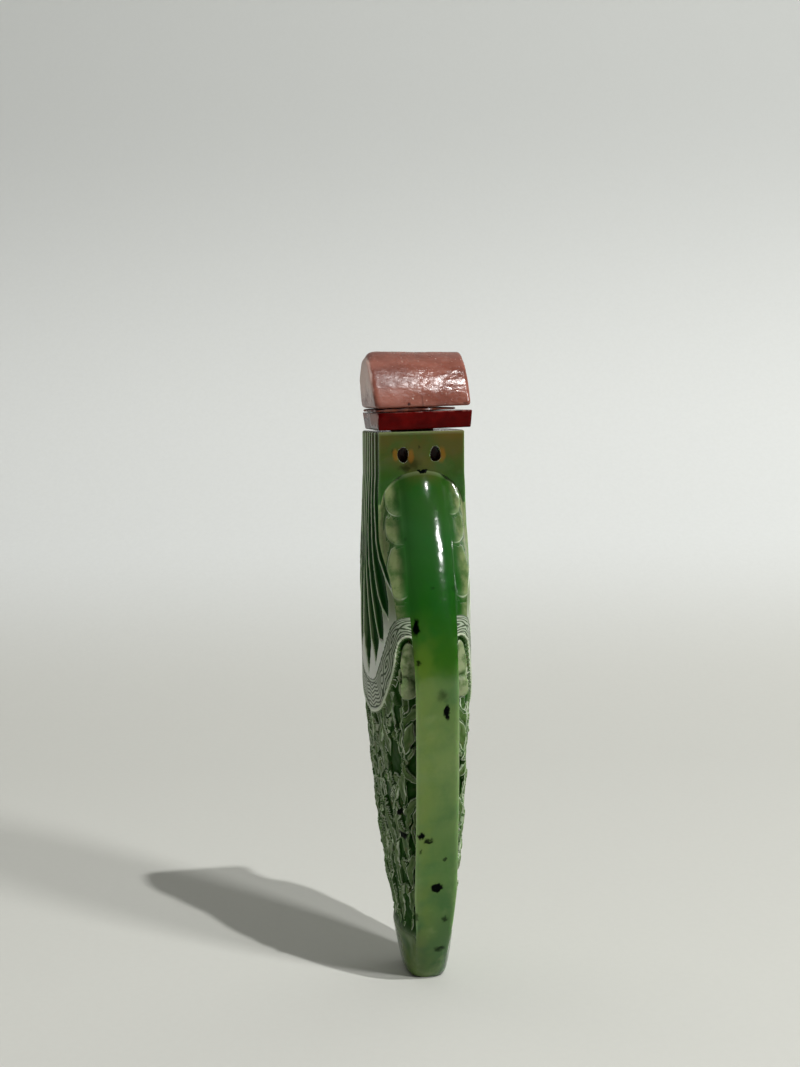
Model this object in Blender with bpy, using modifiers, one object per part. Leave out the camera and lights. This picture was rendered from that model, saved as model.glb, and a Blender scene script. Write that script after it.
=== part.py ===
"""Jade perfume bottle: a hollow carved body with a cork, a red collar plate and a pink stopper stone.

The bottle stands on its foot at the origin, +Z up. Its two broad faces look along -Y and +Y and its
narrow sides along -X and +X. Lengths are in millimetres here and become metres when a mesh is made.
"""
import math

import bmesh
import bpy
import numpy as np
from mathutils import Matrix

MM = 0.001
GAP = 0.3                       # between pieces that fit together

# Body
NECK_TOP = 78.7
SHOULDER_TOP = 73.3             # crown of the shoulder dome, where the plain neck begins
BELLY_HEIGHT = 44.5             # where the body is widest
THICKEST_HEIGHT = 61.5          # where the body is thickest
NECK_HALF_WIDTH = 6.3
NECK_HALF_DEPTH = 6.7
BELLY_HALF_WIDTH = 15.3
BELLY_HALF_DEPTH = 7.1
WIDTH_RUN = 48.0                # run of the lower outline's arc, a little longer than it is used
DEPTH_RUN = 70.0
SHOULDER_LEANNESS = 1.42        # exponents of the broad outline's arcs: 2 would be an ellipse
FLANK_LEANNESS = 1.7
DEPTH_LEANNESS = 1.75
BOW = 0.4                       # the body bows this far toward -Y at mid height
BRIM_BEVEL = 0.15               # bevel round the flat top of the neck
FOOT_ROUND = 0.25               # the lowest millimetre draws in by this much
FOOT_SQUARENESS = 0.75          # 1 would be an ellipse
FOOT_PLAIN = (2.0, 10.0)        # the plain foot turns into the carved body between these heights

# Narrow sides: a smooth strap runs from the shoulder dome to the foot
STRAP_HALF = 3.0
DOME_HALF = 3.2
STRAP_TURN = (44.0, 58.0)       # the flat strap turns into the round dome between these heights
DOME_ROUNDNESS = 1.5            # how far the dome's edges fall back
ARRIS = 0.22
COVE_WIDTH = 1.9                # hollow between the strap and a broad face
COVE_DIP = 0.7
COVE_TURN = (44.0, 52.0)        # the hollow turns into the leaves beside the dome
DOME_SPAN = 5.75                # half-width of the arch over the dome and its leaves
DOME_DROP = 4.5
DOME_FOOT = 56.0                # the arch has no pull on the levels below this
DOME_LEAVES = ((70.0, 66.6), (66.4, 62.4), (62.2, 55.0))     # top and bottom of each
DOME_LEAF_RISE = 0.4
HOLE_SPACING = 4.6
HOLE_SHIFT = -0.4                # both holes sit a little toward -Y
HOLE_SIZE = (1.45, 2.0)         # across, high
HOLE_HEIGHT = 75.5
HOLE_DEPTH = 1.6

# Broad faces
FAN_RUN = 17.0                  # the faces fan out over this height below the shoulder
FACE_CROWN = 3.0                # exponent of a face's cross-section: 2 would be a plain arc
NECK_EDGE_FALL = 0.095          # share of the depth by which a face's edge stands back, at the neck
FACE_EDGE_FALL = 0.3            # the same low down
FACE_EDGE_TURN = (52.0, 68.0)
FLUTES = 9
FLUTE_DEPTH = 0.17              # of a flute's width
FLUTE_POINT = 10.0              # length of the pointed end of a flute
SWAG_TOP_LINE = (42.8, 11.2, 2.2)     # height at the middle, rise to the side, exponent
SWAG_LOW_LINE = (38.0, 12.6, 2.3)
SWAG_RISE = 0.25
FIELD_DEPTH = 0.9               # ground of the leaf scrolls below their tops
FIELD_FOOT = 9.0
LEAF_TIERS = 7
LEAF_SPACING = 4.9

# Inside
WALL = 2.5
MOUTH_RADIUS = 3.3
CAVITY_FLOOR = 8.0
CAVITY_TOP = 67.0
CAVITY_SHOULDER = 55.0          # the hollow narrows toward the mouth above this
FLOOR_RADIUS = 5.0
CAVITY_LEVELS = (CAVITY_FLOOR, 8.6, 10.5, 14.0, 20.0, 28.0, 36.0, 44.0, 52.0, 58.0, 62.0, 65.0,
                 66.6, CAVITY_TOP, NECK_TOP + 1.0)

# Stopper
PLUG_RADIUS = 3.0
PLUG_TAPER = 0.2
PLUG_DEPTH = 8.0                # below the mouth
PLUG_RISE = 1.0                 # into the collar's socket
COLLAR_HALF = (6.15, 6.8)       # at its top, along X and Y
COLLAR_TAPER = 0.25
COLLAR_HEIGHT = 2.4
STOPPER_TILT = 0.9              # degrees: the stopper's +Y side stands higher
COLLAR_SHIFT = 0.6              # the collar sits off centre along Y
CEMENT_GAP = 0.18
CEMENT_HEIGHT = 0.25
STONE_HALF = (6.0, 7.0)
STONE_SHIFT = 0.3
STONE_FALL = 0.04               # slope of its ridge toward +Y
STONE_LEAN = 0.45               # the -Y end leans out toward the top
STONE_TOP = 89.85               # before the stopper is tilted
STONE_LEANNESS = 1.55           # 2 would be a half-ellipse
STONE_STEPS = 22

# Mesh
FACE_STEPS = 36                 # across a broad face: four to a flute
SIDE_STEPS = 3                  # from a face to the strap
STRAP_STEPS = 4
CAVITY_STEPS = 24


def clamp(value, low=0.0, high=1.0):
    return np.minimum(np.maximum(value, low), high)


def smooth(value):
    """Ease from 0 to 1 as the value goes from 0 to 1."""
    t = clamp(value)
    return t * t * (3.0 - 2.0 * t)


def between(level, limits):
    """Ease from 0 at the lower limit to 1 at the upper one."""
    return smooth((level - limits[0]) / (limits[1] - limits[0]))


def arc(value, power=2.0):
    """A rounded quarter outline: 1 at 0, falling to 0 at 1. A lower power makes it leaner."""
    return (1.0 - clamp(value) ** power) ** (1.0 / power)


def half_width(level):
    upper = NECK_HALF_WIDTH + (BELLY_HALF_WIDTH - NECK_HALF_WIDTH) * arc(
        (level - BELLY_HEIGHT) / (SHOULDER_TOP - BELLY_HEIGHT), SHOULDER_LEANNESS)
    lower = BELLY_HALF_WIDTH * arc((BELLY_HEIGHT - level) / WIDTH_RUN, FLANK_LEANNESS)
    return np.where(level > BELLY_HEIGHT, upper, lower)


def half_depth(level):
    upper = NECK_HALF_DEPTH + (BELLY_HALF_DEPTH - NECK_HALF_DEPTH) * arc(
        (level - THICKEST_HEIGHT) / (SHOULDER_TOP + 2.0 - THICKEST_HEIGHT))
    lower = BELLY_HALF_DEPTH * arc((THICKEST_HEIGHT - level) / DEPTH_RUN, DEPTH_LEANNESS)
    return np.where(level > THICKEST_HEIGHT, upper, lower)


def face_edge(level):
    """Half-width and half-depth of a broad face's edge."""
    spread = smooth((SHOULDER_TOP - level) / FAN_RUN)
    edge_x = NECK_HALF_WIDTH + (half_width(level) - COVE_WIDTH - NECK_HALF_WIDTH) * spread
    fall = NECK_EDGE_FALL + (FACE_EDGE_FALL - NECK_EDGE_FALL) * (1.0 - between(level, FACE_EDGE_TURN))
    edge_y = half_depth(level) * (1.0 - fall)
    return edge_x, edge_y


def strap_half(level):
    widening = between(level, STRAP_TURN)
    return np.minimum(STRAP_HALF + (DOME_HALF - STRAP_HALF) * widening, 0.9 * face_edge(level)[1])


def swag_line(x, line):
    middle, rise, power = line
    return middle + rise * (np.abs(x) / BELLY_HALF_WIDTH * 1.08) ** power


def flutes(x, z, edge_x):
    """Hollow flutes that fan out from the neck and end in points above the swag."""
    place = x / edge_x * FLUTES / 2.0
    middle = np.round(place)
    tip = swag_line(middle * 2.0 * edge_x / FLUTES, SWAG_TOP_LINE) + 0.8
    open_part = 1.0 - (1.0 - clamp((z - tip) / FLUTE_POINT)) ** 2
    across = np.abs(place - middle) * 2.0 / np.maximum(open_part, 0.01)
    width = 2.0 * edge_x / FLUTES
    return -FLUTE_DEPTH * width * open_part * clamp(1.0 - across ** 2)


def leaf(x, z, root, tip, width):
    """A pointed leaf from root to tip, 1 along its middle and 0 at its edge."""
    along_x, along_z = tip[0] - root[0], tip[1] - root[1]
    length = math.hypot(along_x, along_z)
    along = ((x - root[0]) * along_x + (z - root[1]) * along_z) / length ** 2
    aside = np.abs((x - root[0]) * along_z - (z - root[1]) * along_x) / length
    half = width * 2.0 * np.sqrt(clamp(along)) * (1.0 - clamp(along)) + 0.01
    inside = (along > 0.0) & (along < 1.0)
    return np.where(inside, clamp(1.0 - (aside / half) ** 2), 0.0)


def leaf_scrolls(x, z):
    """Tiers of leaves on both sides of a middle stem, wider where the face is wider."""
    x = np.abs(x)
    height = clamp(1.0 - (x / 0.9) ** 2) * 0.7
    for tier in range(LEAF_TIERS):
        base = FIELD_FOOT + LEAF_SPACING * tier
        tip = base + 1.15 * LEAF_SPACING
        reach = float(face_edge(base + 0.6 * LEAF_SPACING)[0])
        inner = leaf(x, z, (0.3, base), (0.62 * reach, tip), 2.2)
        outer = leaf(x, z, (0.40 * reach, base + 0.4), (1.05 * reach, tip + 0.2), 2.3)
        height = np.maximum(height, np.maximum(inner, outer))
    return height


def face_relief(x, z, edge_x):
    """Height of the carving on a broad face, measured out from the face's envelope."""
    upper = swag_line(x, SWAG_TOP_LINE)
    lower = swag_line(x, SWAG_LOW_LINE)
    field = FIELD_DEPTH * (leaf_scrolls(x, z) - 1.0) * smooth((z - FIELD_FOOT + 3.0) / 4.0)
    field = field * smooth((lower - z) / 0.8)
    band = SWAG_RISE * smooth((upper - z) / 0.8) * smooth((z - lower) / 0.8)
    return np.where(z > upper, flutes(x, z, edge_x), field + band)


def face_points(share, level, side):
    """Points of a broad face. share runs from -1 to 1 across it; side is -1 in front and 1 behind."""
    edge_x, edge_y = face_edge(level)
    x = share * edge_x
    z = bowed(level, edge_y)
    y = edge_y + (half_depth(level) - edge_y) * (1.0 - np.abs(share) ** FACE_CROWN)
    return x, side * (y + face_relief(x, z, edge_x)), z


def bowed(level, depth):
    """Height of a point: levels near the shoulder sag toward the faces, along the dome's arch."""
    share = clamp(depth / DOME_SPAN)
    drop = DOME_DROP * (1.0 - np.sqrt(1.0 - share ** 2))
    near = np.where(level < SHOULDER_TOP, between(level, (DOME_FOOT, SHOULDER_TOP)),
                    1.0 - between(level, (SHOULDER_TOP, NECK_TOP - BRIM_BEVEL)))
    return level - drop * near


def leaf_lobes(along, z):
    """Three rounded lobes stacked beside the dome."""
    height = 0.0
    for top, bottom in DOME_LEAVES:
        middle = 0.5 * (top + bottom)
        half = 0.5 * (top - bottom)
        height = np.maximum(height, clamp(1.0 - ((z - middle) / half) ** 2))
    return DOME_LEAF_RISE * height * np.sin(math.pi * clamp(along)) ** 0.7


def side_points(along, level):
    """Points between the strap (along = 0) and a face's edge (along = 1), on the +X, +Y quarter."""
    edge_x, edge_y = face_edge(level)
    edge_y = edge_y + face_relief(edge_x, bowed(level, edge_y), edge_x)
    strap_x = half_width(level) - ARRIS
    strap_y = strap_half(level)
    low = (1.0 - between(level, COVE_TURN)) * between(level, (0.8 * FIELD_FOOT, 1.5 * FIELD_FOOT))
    dip = COVE_DIP * low * math.sin(math.pi * along)
    y = strap_y + (edge_y - strap_y) * (along + low * (along ** 2 - along)) - dip
    x = strap_x + (edge_x - strap_x) * (along ** 1.6 + low * (along ** 0.8 - along ** 1.6))
    z = bowed(level, y)
    lobes = np.where(level < SHOULDER_TOP, leaf_lobes(along, z), 0.0)
    x = np.where(level >= SHOULDER_TOP, NECK_HALF_WIDTH, x + lobes)
    return x, y + lobes, z


def strap_points(share, level):
    """Points of the strap on the +X side. share runs from -1 to 1 across it."""
    y = share * strap_half(level)
    roundness = DOME_ROUNDNESS * between(level, STRAP_TURN)
    edge = ARRIS * clamp((np.abs(share) - 0.8) / 0.2)
    x = half_width(level) - roundness * (1.0 - math.sqrt(1.0 - 0.85 * share ** 2)) - edge
    x = np.where(level >= SHOULDER_TOP, NECK_HALF_WIDTH, x)
    return x, y, bowed(level, y)


def body_levels():
    """Levels of the body's rings, close together where the dome leaves the neck and at the foot."""
    foot = [0.0, 0.4, 1.4, 3.2, 5.4, 8.0]
    field = list(np.arange(10.0, 55.5, 2.2))
    dome = list(np.linspace(DOME_FOOT, SHOULDER_TOP - 4.3, 9))
    crown = [SHOULDER_TOP - drop for drop in (3.0, 2.1, 1.2, 0.0)]
    neck = [SHOULDER_TOP + 0.05, SHOULDER_TOP + 1.2, SHOULDER_TOP + 3.2, NECK_TOP - BRIM_BEVEL, NECK_TOP]
    return np.array(foot + field + dome + crown + neck)


def body_columns(level):
    """Half of each ring, from the middle of the front face round +X to the middle of the back face."""
    columns = []
    for step in range(FACE_STEPS // 2):
        columns.append(face_points(2.0 * step / FACE_STEPS, level, -1.0))
    for step in range(SIDE_STEPS, 0, -1):
        x, y, z = side_points(step / SIDE_STEPS, level)
        columns.append((x, -y, z))
    for step in range(STRAP_STEPS + 1):
        columns.append(strap_points(2.0 * step / STRAP_STEPS - 1.0, level))
    for step in range(1, SIDE_STEPS + 1):
        columns.append(side_points(step / SIDE_STEPS, level))
    for step in range(FACE_STEPS // 2 - 1, -1, -1):
        columns.append(face_points(2.0 * step / FACE_STEPS, level, 1.0))
    return columns[:-1]


def rings_to_mesh(name, rings):
    """A closed body from rings of points, each ring running counter-clockwise seen from above."""
    mesh = bmesh.new()
    rows = [[mesh.verts.new(point * MM) for point in ring] for ring in rings]
    count = len(rows[0])
    for low, high in zip(rows, rows[1:]):
        for index in range(count):
            after = (index + 1) % count
            mesh.faces.new((low[index], low[after], high[after], high[index]))
    mesh.faces.new(list(reversed(rows[0])))
    mesh.faces.new(rows[-1])
    data = bpy.data.meshes.new(name)
    mesh.to_mesh(data)
    mesh.free()
    return data


def with_bow(points):
    """The body's slight bow toward -Y between its foot and its mouth."""
    x, y, z = points
    return np.stack([x, y - BOW * np.sin(math.pi * z / NECK_TOP), z], axis=1)


def rounded_foot(x, y, level):
    """Ease the lowest sections into plain rounded ones, drawn in at the edge they stand on."""
    share = 1.0 - between(level, FOOT_PLAIN)
    wide, deep = half_width(level), half_depth(level)
    angle = np.arctan2(y / deep, x / wide)
    drawn_in = FOOT_ROUND * (1.0 - clamp(level)) ** 2
    round_x = (wide - drawn_in) * np.abs(np.cos(angle)) ** FOOT_SQUARENESS
    round_y = (deep - drawn_in) * np.sign(y) * np.abs(np.sin(angle)) ** FOOT_SQUARENESS
    return x + share * (round_x - x), y + share * (round_y - y)


def body_mesh():
    levels = body_levels()
    columns = [np.broadcast_arrays(*column) for column in body_columns(levels)]
    x, y, z = (np.array([column[axis] for column in columns]) for axis in range(3))
    x, y = rounded_foot(x, y, levels)
    x[:, -1] *= 1.0 - BRIM_BEVEL / NECK_HALF_WIDTH
    y[:, -1] *= 1.0 - BRIM_BEVEL / NECK_HALF_DEPTH
    x, y, z = np.concatenate([x, -x]), np.concatenate([y, -y]), np.concatenate([z, z])
    rings = [with_bow((x[:, row], y[:, row], z[:, row])) for row in range(len(levels))]
    return rings_to_mesh("bottle_body", rings)


def cavity_mesh():
    """The hollow: rounded below, following the outside at wall thickness, and round in the neck."""
    angles = np.arange(CAVITY_STEPS) * 2.0 * math.pi / CAVITY_STEPS
    rings = []
    for z in CAVITY_LEVELS:
        floor_round = math.sqrt(1.0 - clamp(1.0 - (z - CAVITY_FLOOR + 0.05) / FLOOR_RADIUS) ** 2)
        shoulder = float(arc((z - CAVITY_SHOULDER) / (CAVITY_TOP - CAVITY_SHOULDER)))
        wide = (float(half_width(z)) - WALL - MOUTH_RADIUS) * shoulder * floor_round
        deep = (float(half_depth(z)) - WALL - MOUTH_RADIUS) * shoulder
        deep = (deep + MOUTH_RADIUS) * floor_round
        wide = max(wide + MOUTH_RADIUS, deep)
        squareness = 0.8 + 0.2 * (1.0 - shoulder)
        cosine, sine = np.cos(angles), np.sin(angles)
        x = wide * np.sign(cosine) * np.abs(cosine) ** squareness
        y = deep * np.sign(sine) * np.abs(sine) ** squareness
        rings.append(with_bow((x, y, np.full(CAVITY_STEPS, z))))
    return rings_to_mesh("cavity", rings)


def material(name, colour, roughness, transmission=0.0):
    made = bpy.data.materials.new(name)
    made.use_nodes = True
    shader = made.node_tree.nodes["Principled BSDF"]
    shader.inputs["Base Color"].default_value = (*colour, 1.0)
    shader.inputs["Roughness"].default_value = roughness
    shader.inputs["Metallic"].default_value = 0.0
    shader.inputs["Transmission Weight"].default_value = transmission
    return made


def place(name, data, collection, finish=None):
    """Link a mesh as an object, shaded smooth up to its crisp edges."""
    made = bpy.data.objects.new(name, data)
    collection.objects.link(made)
    data.shade_smooth()
    data.set_sharp_from_angle(angle=math.radians(35.0))
    if finish:
        data.materials.append(finish)
    return made


def primitive(add, **settings):
    """The mesh of a primitive, with its object removed again."""
    add(**settings)
    made = bpy.context.object
    data = made.data
    data.transform(made.matrix_world)
    bpy.data.objects.remove(made)
    return data


def cylinder(radius, low, high, steps=24, low_radius=None):
    """A round or slightly tapered pin along Z."""
    return primitive(bpy.ops.mesh.primitive_cone_add, vertices=steps,
                     radius1=(low_radius or radius) * MM, radius2=radius * MM,
                     depth=(high - low) * MM, location=(0.0, 0.0, 0.5 * (low + high) * MM))


def block(half_x, half_y, low, high, shift_y):
    data = primitive(bpy.ops.mesh.primitive_cube_add, size=2.0,
                     location=(0.0, 0.0, 0.0))
    for vert in data.vertices:
        vert.co.x *= half_x * MM
        vert.co.y = (vert.co.y * half_y + shift_y) * MM
        vert.co.z = (high if vert.co.z > 0.0 else low) * MM
    return data


def tilted(data):
    """Tip a piece of the stopper's head about the middle of the mouth."""
    mouth = Matrix.Translation((0.0, 0.0, NECK_TOP * MM))
    data.transform(mouth @ Matrix.Rotation(math.radians(STOPPER_TILT), 4, "X") @ mouth.inverted())
    return data


def cut(target, cutter):
    cutter.hide_render = True
    cutter.display_type = "WIRE"
    boolean = target.modifiers.new("cut_" + cutter.name, "BOOLEAN")
    boolean.operation = "DIFFERENCE"
    boolean.object = cutter


def soften(target, width, segments=2):
    bevel = target.modifiers.new("edges", "BEVEL")
    bevel.width = width * MM
    bevel.segments = segments
    bevel.limit_method = "ANGLE"
    bevel.angle_limit = math.radians(40.0)


def make_body(parts, cutters):
    jade = material("jade", (0.10, 0.20, 0.04), 0.2)
    body = place("bottle_body", body_mesh(), parts, jade)
    cut(body, place("cavity", cavity_mesh(), cutters))
    for side in (-1, 1):
        for row in (-1, 1):
            data = cylinder(1.0, -HOLE_DEPTH, 1.0, steps=12)
            for vert in data.vertices:
                depth, across, up = vert.co.z, vert.co.x, vert.co.y
                vert.co.x = side * (NECK_HALF_WIDTH * MM + depth)
                vert.co.y = across * 0.5 * HOLE_SIZE[0] + (0.5 * row * HOLE_SPACING + HOLE_SHIFT) * MM
                vert.co.z = up * 0.5 * HOLE_SIZE[1] + HOLE_HEIGHT * MM
            if side < 0:
                data.flip_normals()
            cut(body, place("hole_%d_%d" % (side + 1, row + 1), data, cutters))
    return body


def make_plug(parts):
    cork = material("cork", (0.30, 0.17, 0.08), 0.8)
    data = cylinder(PLUG_RADIUS, NECK_TOP - PLUG_DEPTH, NECK_TOP + PLUG_RISE,
                    low_radius=PLUG_RADIUS - PLUG_TAPER)
    plug = place("stopper_plug", data, parts, cork)
    soften(plug, 0.3, segments=1)
    return plug


def make_collar(parts, cutters):
    red = material("red_stone", (0.28, 0.01, 0.01), 0.12, 0.3)
    low = NECK_TOP + GAP
    data = block(*COLLAR_HALF, low, low + COLLAR_HEIGHT, COLLAR_SHIFT)
    for vert in data.vertices:
        if vert.co.z < (low + 0.1) * MM:
            vert.co.x *= 1.0 - COLLAR_TAPER / COLLAR_HALF[0]
            vert.co.y -= math.copysign(COLLAR_TAPER, vert.co.y) * MM
    collar = place("stopper_collar", tilted(data), parts, red)
    soften(collar, 0.12, segments=1)
    socket = cylinder(PLUG_RADIUS + GAP, low - 1.0, NECK_TOP + PLUG_RISE + GAP)
    cut(collar, place("collar_socket", socket, cutters))
    return collar


def make_cement(parts):
    amber = material("cement", (0.30, 0.09, 0.02), 0.4)
    low = NECK_TOP + GAP + COLLAR_HEIGHT + CEMENT_GAP
    data = block(STONE_HALF[0] - 0.5, STONE_HALF[1] - 1.2, low, low + CEMENT_HEIGHT, STONE_SHIFT - 0.7)
    cement = place("stopper_cement", tilted(data), parts, amber)
    soften(cement, 0.1, segments=1)
    return cement


def arched_block(half_x, half_y, low, high, shift_y):
    """A block whose two sides lean in and meet in a rounded ridge along Y."""
    mesh = bmesh.new()
    ends = []
    for y in (shift_y - half_y, shift_y + half_y):
        ring = []
        for step in range(STONE_STEPS + 1):
            angle = math.pi * step / STONE_STEPS
            across = abs(math.cos(angle)) ** (2.0 / STONE_LEANNESS)
            up = max(math.sin(angle), 0.0) ** (2.0 / STONE_LEANNESS)
            x = math.copysign(across, math.cos(angle)) * half_x
            ring.append(mesh.verts.new((x * MM, y * MM, (low + (high - low) * up) * MM)))
        ends.append(ring)
    near, far = ends
    mesh.faces.new(near)
    mesh.faces.new(reversed(far))
    for index in range(len(near)):
        after = (index + 1) % len(near)
        mesh.faces.new((near[after], near[index], far[index], far[after]))
    bmesh.ops.recalc_face_normals(mesh, faces=mesh.faces)
    data = bpy.data.meshes.new("arched_block")
    mesh.to_mesh(data)
    mesh.free()
    return data


def make_stone(parts):
    """An arched block of stone, its ridge falling a little and one end leaning out."""
    pink = material("pink_stone", (0.55, 0.22, 0.19), 0.2)
    low = NECK_TOP + GAP + COLLAR_HEIGHT + 2.0 * CEMENT_GAP + CEMENT_HEIGHT
    data = arched_block(*STONE_HALF, low, STONE_TOP, STONE_SHIFT)
    for vert in data.vertices:
        rise = vert.co.z / MM - low
        vert.co.z -= STONE_FALL * vert.co.y * rise / (STONE_TOP - low)
        if vert.co.y < 0.0:
            vert.co.y += STONE_LEAN * (1.0 - min(rise / 4.0, 1.0)) * MM
    stone = place("stopper_stone", tilted(data), parts, pink)
    soften(stone, 0.45)
    return stone


def main():
    for old in list(bpy.data.objects):
        bpy.data.objects.remove(old)
    parts = bpy.data.collections.new("jade_perfume_bottle")
    cutters = bpy.data.collections.new("cutters")
    bpy.context.scene.collection.children.link(parts)
    bpy.context.scene.collection.children.link(cutters)
    make_body(parts, cutters)
    make_plug(parts)
    make_collar(parts, cutters)
    make_cement(parts)
    make_stone(parts)


main()
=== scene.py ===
"""Looks of the jade perfume bottle: finely carved body, worn stopper stones, plain studio."""
import math

import bmesh
import bpy
import numpy as np
from mathutils import Matrix, Vector, noise


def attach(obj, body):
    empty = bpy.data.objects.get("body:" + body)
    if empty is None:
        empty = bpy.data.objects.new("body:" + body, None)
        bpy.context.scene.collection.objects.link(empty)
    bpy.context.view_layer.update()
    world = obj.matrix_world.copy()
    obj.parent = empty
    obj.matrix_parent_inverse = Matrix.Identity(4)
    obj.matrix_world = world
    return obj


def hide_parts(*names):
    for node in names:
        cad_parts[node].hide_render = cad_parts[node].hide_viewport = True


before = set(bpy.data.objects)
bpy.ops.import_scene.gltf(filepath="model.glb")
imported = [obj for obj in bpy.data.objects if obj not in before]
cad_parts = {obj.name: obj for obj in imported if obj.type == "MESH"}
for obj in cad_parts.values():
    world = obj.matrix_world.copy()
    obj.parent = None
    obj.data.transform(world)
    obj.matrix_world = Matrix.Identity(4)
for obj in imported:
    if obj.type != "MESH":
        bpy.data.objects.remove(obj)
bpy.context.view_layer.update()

MM = 0.001

# Camera, in millimetres, degrees and the photo's pixels
CAMERA_AZIMUTH = 79.0
CAMERA_DISTANCE = 228.5
CAMERA_HEIGHT = 85.3
CAMERA_SIDE = -2.1
CAMERA_PITCH = 5.33
CAMERA_ROLL = 1.27
FOCAL_PIXELS = 1603.0
IMAGE_ROWS = 1067

# Paper sweep behind the bottle, in millimetres
SWEEP_START = 130.0
SWEEP_BEND = 220.0
SWEEP_HALF = 1800.0
WALL_TOP = 1400.0
# Lamps: to the camera's right, toward it, up; distance and size in millimetres; power and colour
LAMPS = {
    "key": (0.44, 0.51, 1.0, 1200.0, 26.0, 7.2, (1.0, 1.0, 1.0)),
    "window": (0.75, 0.63, 0.53, 700.0, 95.0, 2.6, (1.0, 1.0, 1.0)),
    "fill": (-0.2, -0.5, 1.0, 1000.0, 900.0, 1.35, (1.0, 0.97, 0.88)),
}
LAMP_AIM = 45.0
ROOM_COLOUR = (0.92, 0.92, 0.9, 1.0)
ROOM_STRENGTH = 0.10

# Body, in millimetres: the solid's own sizes, with larger flutes and holes and a few finer forms
NECK_TOP = 78.7
SHOULDER_TOP = 73.3
BELLY_HEIGHT = 44.5
THICKEST_HEIGHT = 61.5
NECK_HALF_WIDTH = 6.3
NECK_HALF_DEPTH = 6.7
BELLY_HALF_WIDTH = 15.3
BELLY_HALF_DEPTH = 7.1
REACH = 15.27
WIDTH_RUN = 48.0
DEPTH_RUN = 70.0
SHOULDER_LEANNESS = 1.42
FLANK_LEANNESS = 1.7
DEPTH_LEANNESS = 1.75
BELLY_EASE = ((37.0, 41.0), (48.0, 52.0))
BOW = 0.4
BRIM_BEVEL = 0.15
FOOT_ROUND = 0.25
FOOT_SQUARENESS = 0.75
FOOT_PLAIN = (2.0, 10.0)
STRAP_HALF = 3.0
DOME_HALF = 3.2
STRAP_TURN = (44.0, 58.0)
DOME_ROUNDNESS = 1.5
DOME_CURVE = 0.85
ARRIS = 0.22
# Heights between which the strap's edges carry a painted highlight line
ARRIS_HIGHLIGHT_LEVELS = ((6.0, 9.0), (40.0, 46.0))
COVE_WIDTH = 1.9
COVE_DIP = 0.7
COVE_TURN = (44.0, 52.0)
COVE_FOOT = (7.2, 13.5)
DOME_SPAN = 5.75
DOME_DROP = 4.5
DOME_FOOT = 56.0
FAN_RUN = 17.0
FACE_CROWN = 3.0
NECK_EDGE_FALL = 0.095
FACE_EDGE_FALL = 0.3
FACE_EDGE_TURN = (52.0, 68.0)
HOLE_SPACING = 4.6
HOLE_SHIFT = -0.4
HOLE_SIZE = (1.65, 2.3)
HOLE_HEIGHT = 75.5
HOLE_DEPTH = 1.6
HOLE_MOUTH = 1.0
FLUTE_DEPTH = 0.18

# Carving: the girth that its map has at the strap's edge, heights, and depths below the plain surface
MAP_GIRTH = 16.0
FIELD_FADE = (6.4, 8.6)
ARCH_CORNER = (11.0, 41.5)
SWAG_CEILING = 62.0
GROUND_DEPTH = 0.66
DEEPEST_CUT = 1.1
VINE_DEPTH = 0.30
LEAF_DEPTHS = (0.48, 0.04)
RECESS_DEPTH = 0.62
EYE_DEPTH = 0.95
LIP_RISE = 0.12
UNEVENNESS = 0.03
NOWHERE = 99.0

# Inside
WALL = 2.5
MOUTH_RADIUS = 3.3
CAVITY_FLOOR = 8.0
CAVITY_TOP = 67.0
CAVITY_SHOULDER = 55.0
CAVITY_LEVELS = (8.2, 8.6, 9.4, 10.5, 12.0, 14.0, 17.0, 20.0, 24.0, 28.0, 32.0, 36.0, 40.0, 44.0, 48.0, 52.0,
                 55.0, 58.0, 60.0, 62.0, 63.5, 65.0, 66.0, 66.6)
FLOOR_RADIUS = 5.0

# Stopper: the solids' own sizes, with the collar's ends drawn in by a hundredth of a millimetre
GAP = 0.3
PLUG_RADIUS = 3.0
PLUG_TAPER = 0.2
PLUG_DEPTH = 8.0
PLUG_RISE = 1.0
COLLAR_HALF = (6.15, 6.79)
COLLAR_TAPER = 0.25
COLLAR_HEIGHT = 2.4
COLLAR_SHIFT = 0.6
STOPPER_TILT = 0.9
CEMENT_GAP = 0.18
CEMENT_HEIGHT = 0.25
STONE_HALF = (6.0, 7.0)
STONE_SHIFT = 0.3
STONE_FALL = 0.04
STONE_LEAN = 0.45
STONE_LOW = 82.01
STONE_TOP = 89.85
STONE_LEANNESS = 1.55
STONE_BEVEL = 0.45
# Pits in the stone and chips in the collar: place, radius, depth
STONE_PITS = (
    ((5.5, -1.6, 82.4), 0.45, 0.30), ((2.0, -5.2, 89.0), 0.5, 0.18), ((2.6, -2.6, 88.8), 0.45, 0.16),
    ((2.2, 0.4, 89.2), 0.5, 0.18), ((3.6, -1.4, 88.0), 0.4, 0.14), ((5.6, 3.2, 84.6), 0.4, 0.12),
    ((5.2, 5.6, 86.6), 0.5, 0.22), ((5.8, -4.6, 84.2), 0.35, 0.12), ((-4.0, 2.0, 87.4), 0.6, 0.2),
    ((-5.6, -3.4, 84.6), 0.5, 0.18), ((0.6, 4.4, 89.6), 0.5, 0.14),
)
COLLAR_CHIPS = (
    ((6.1, -6.2, 81.4), 0.7, 0.35), ((6.1, 1.4, 81.5), 0.4, 0.10), ((6.1, 4.9, 79.0), 0.4, 0.12),
    ((-6.1, 3.0, 81.5), 0.6, 0.2), ((2.0, 7.4, 81.4), 0.5, 0.15),
)
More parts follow.
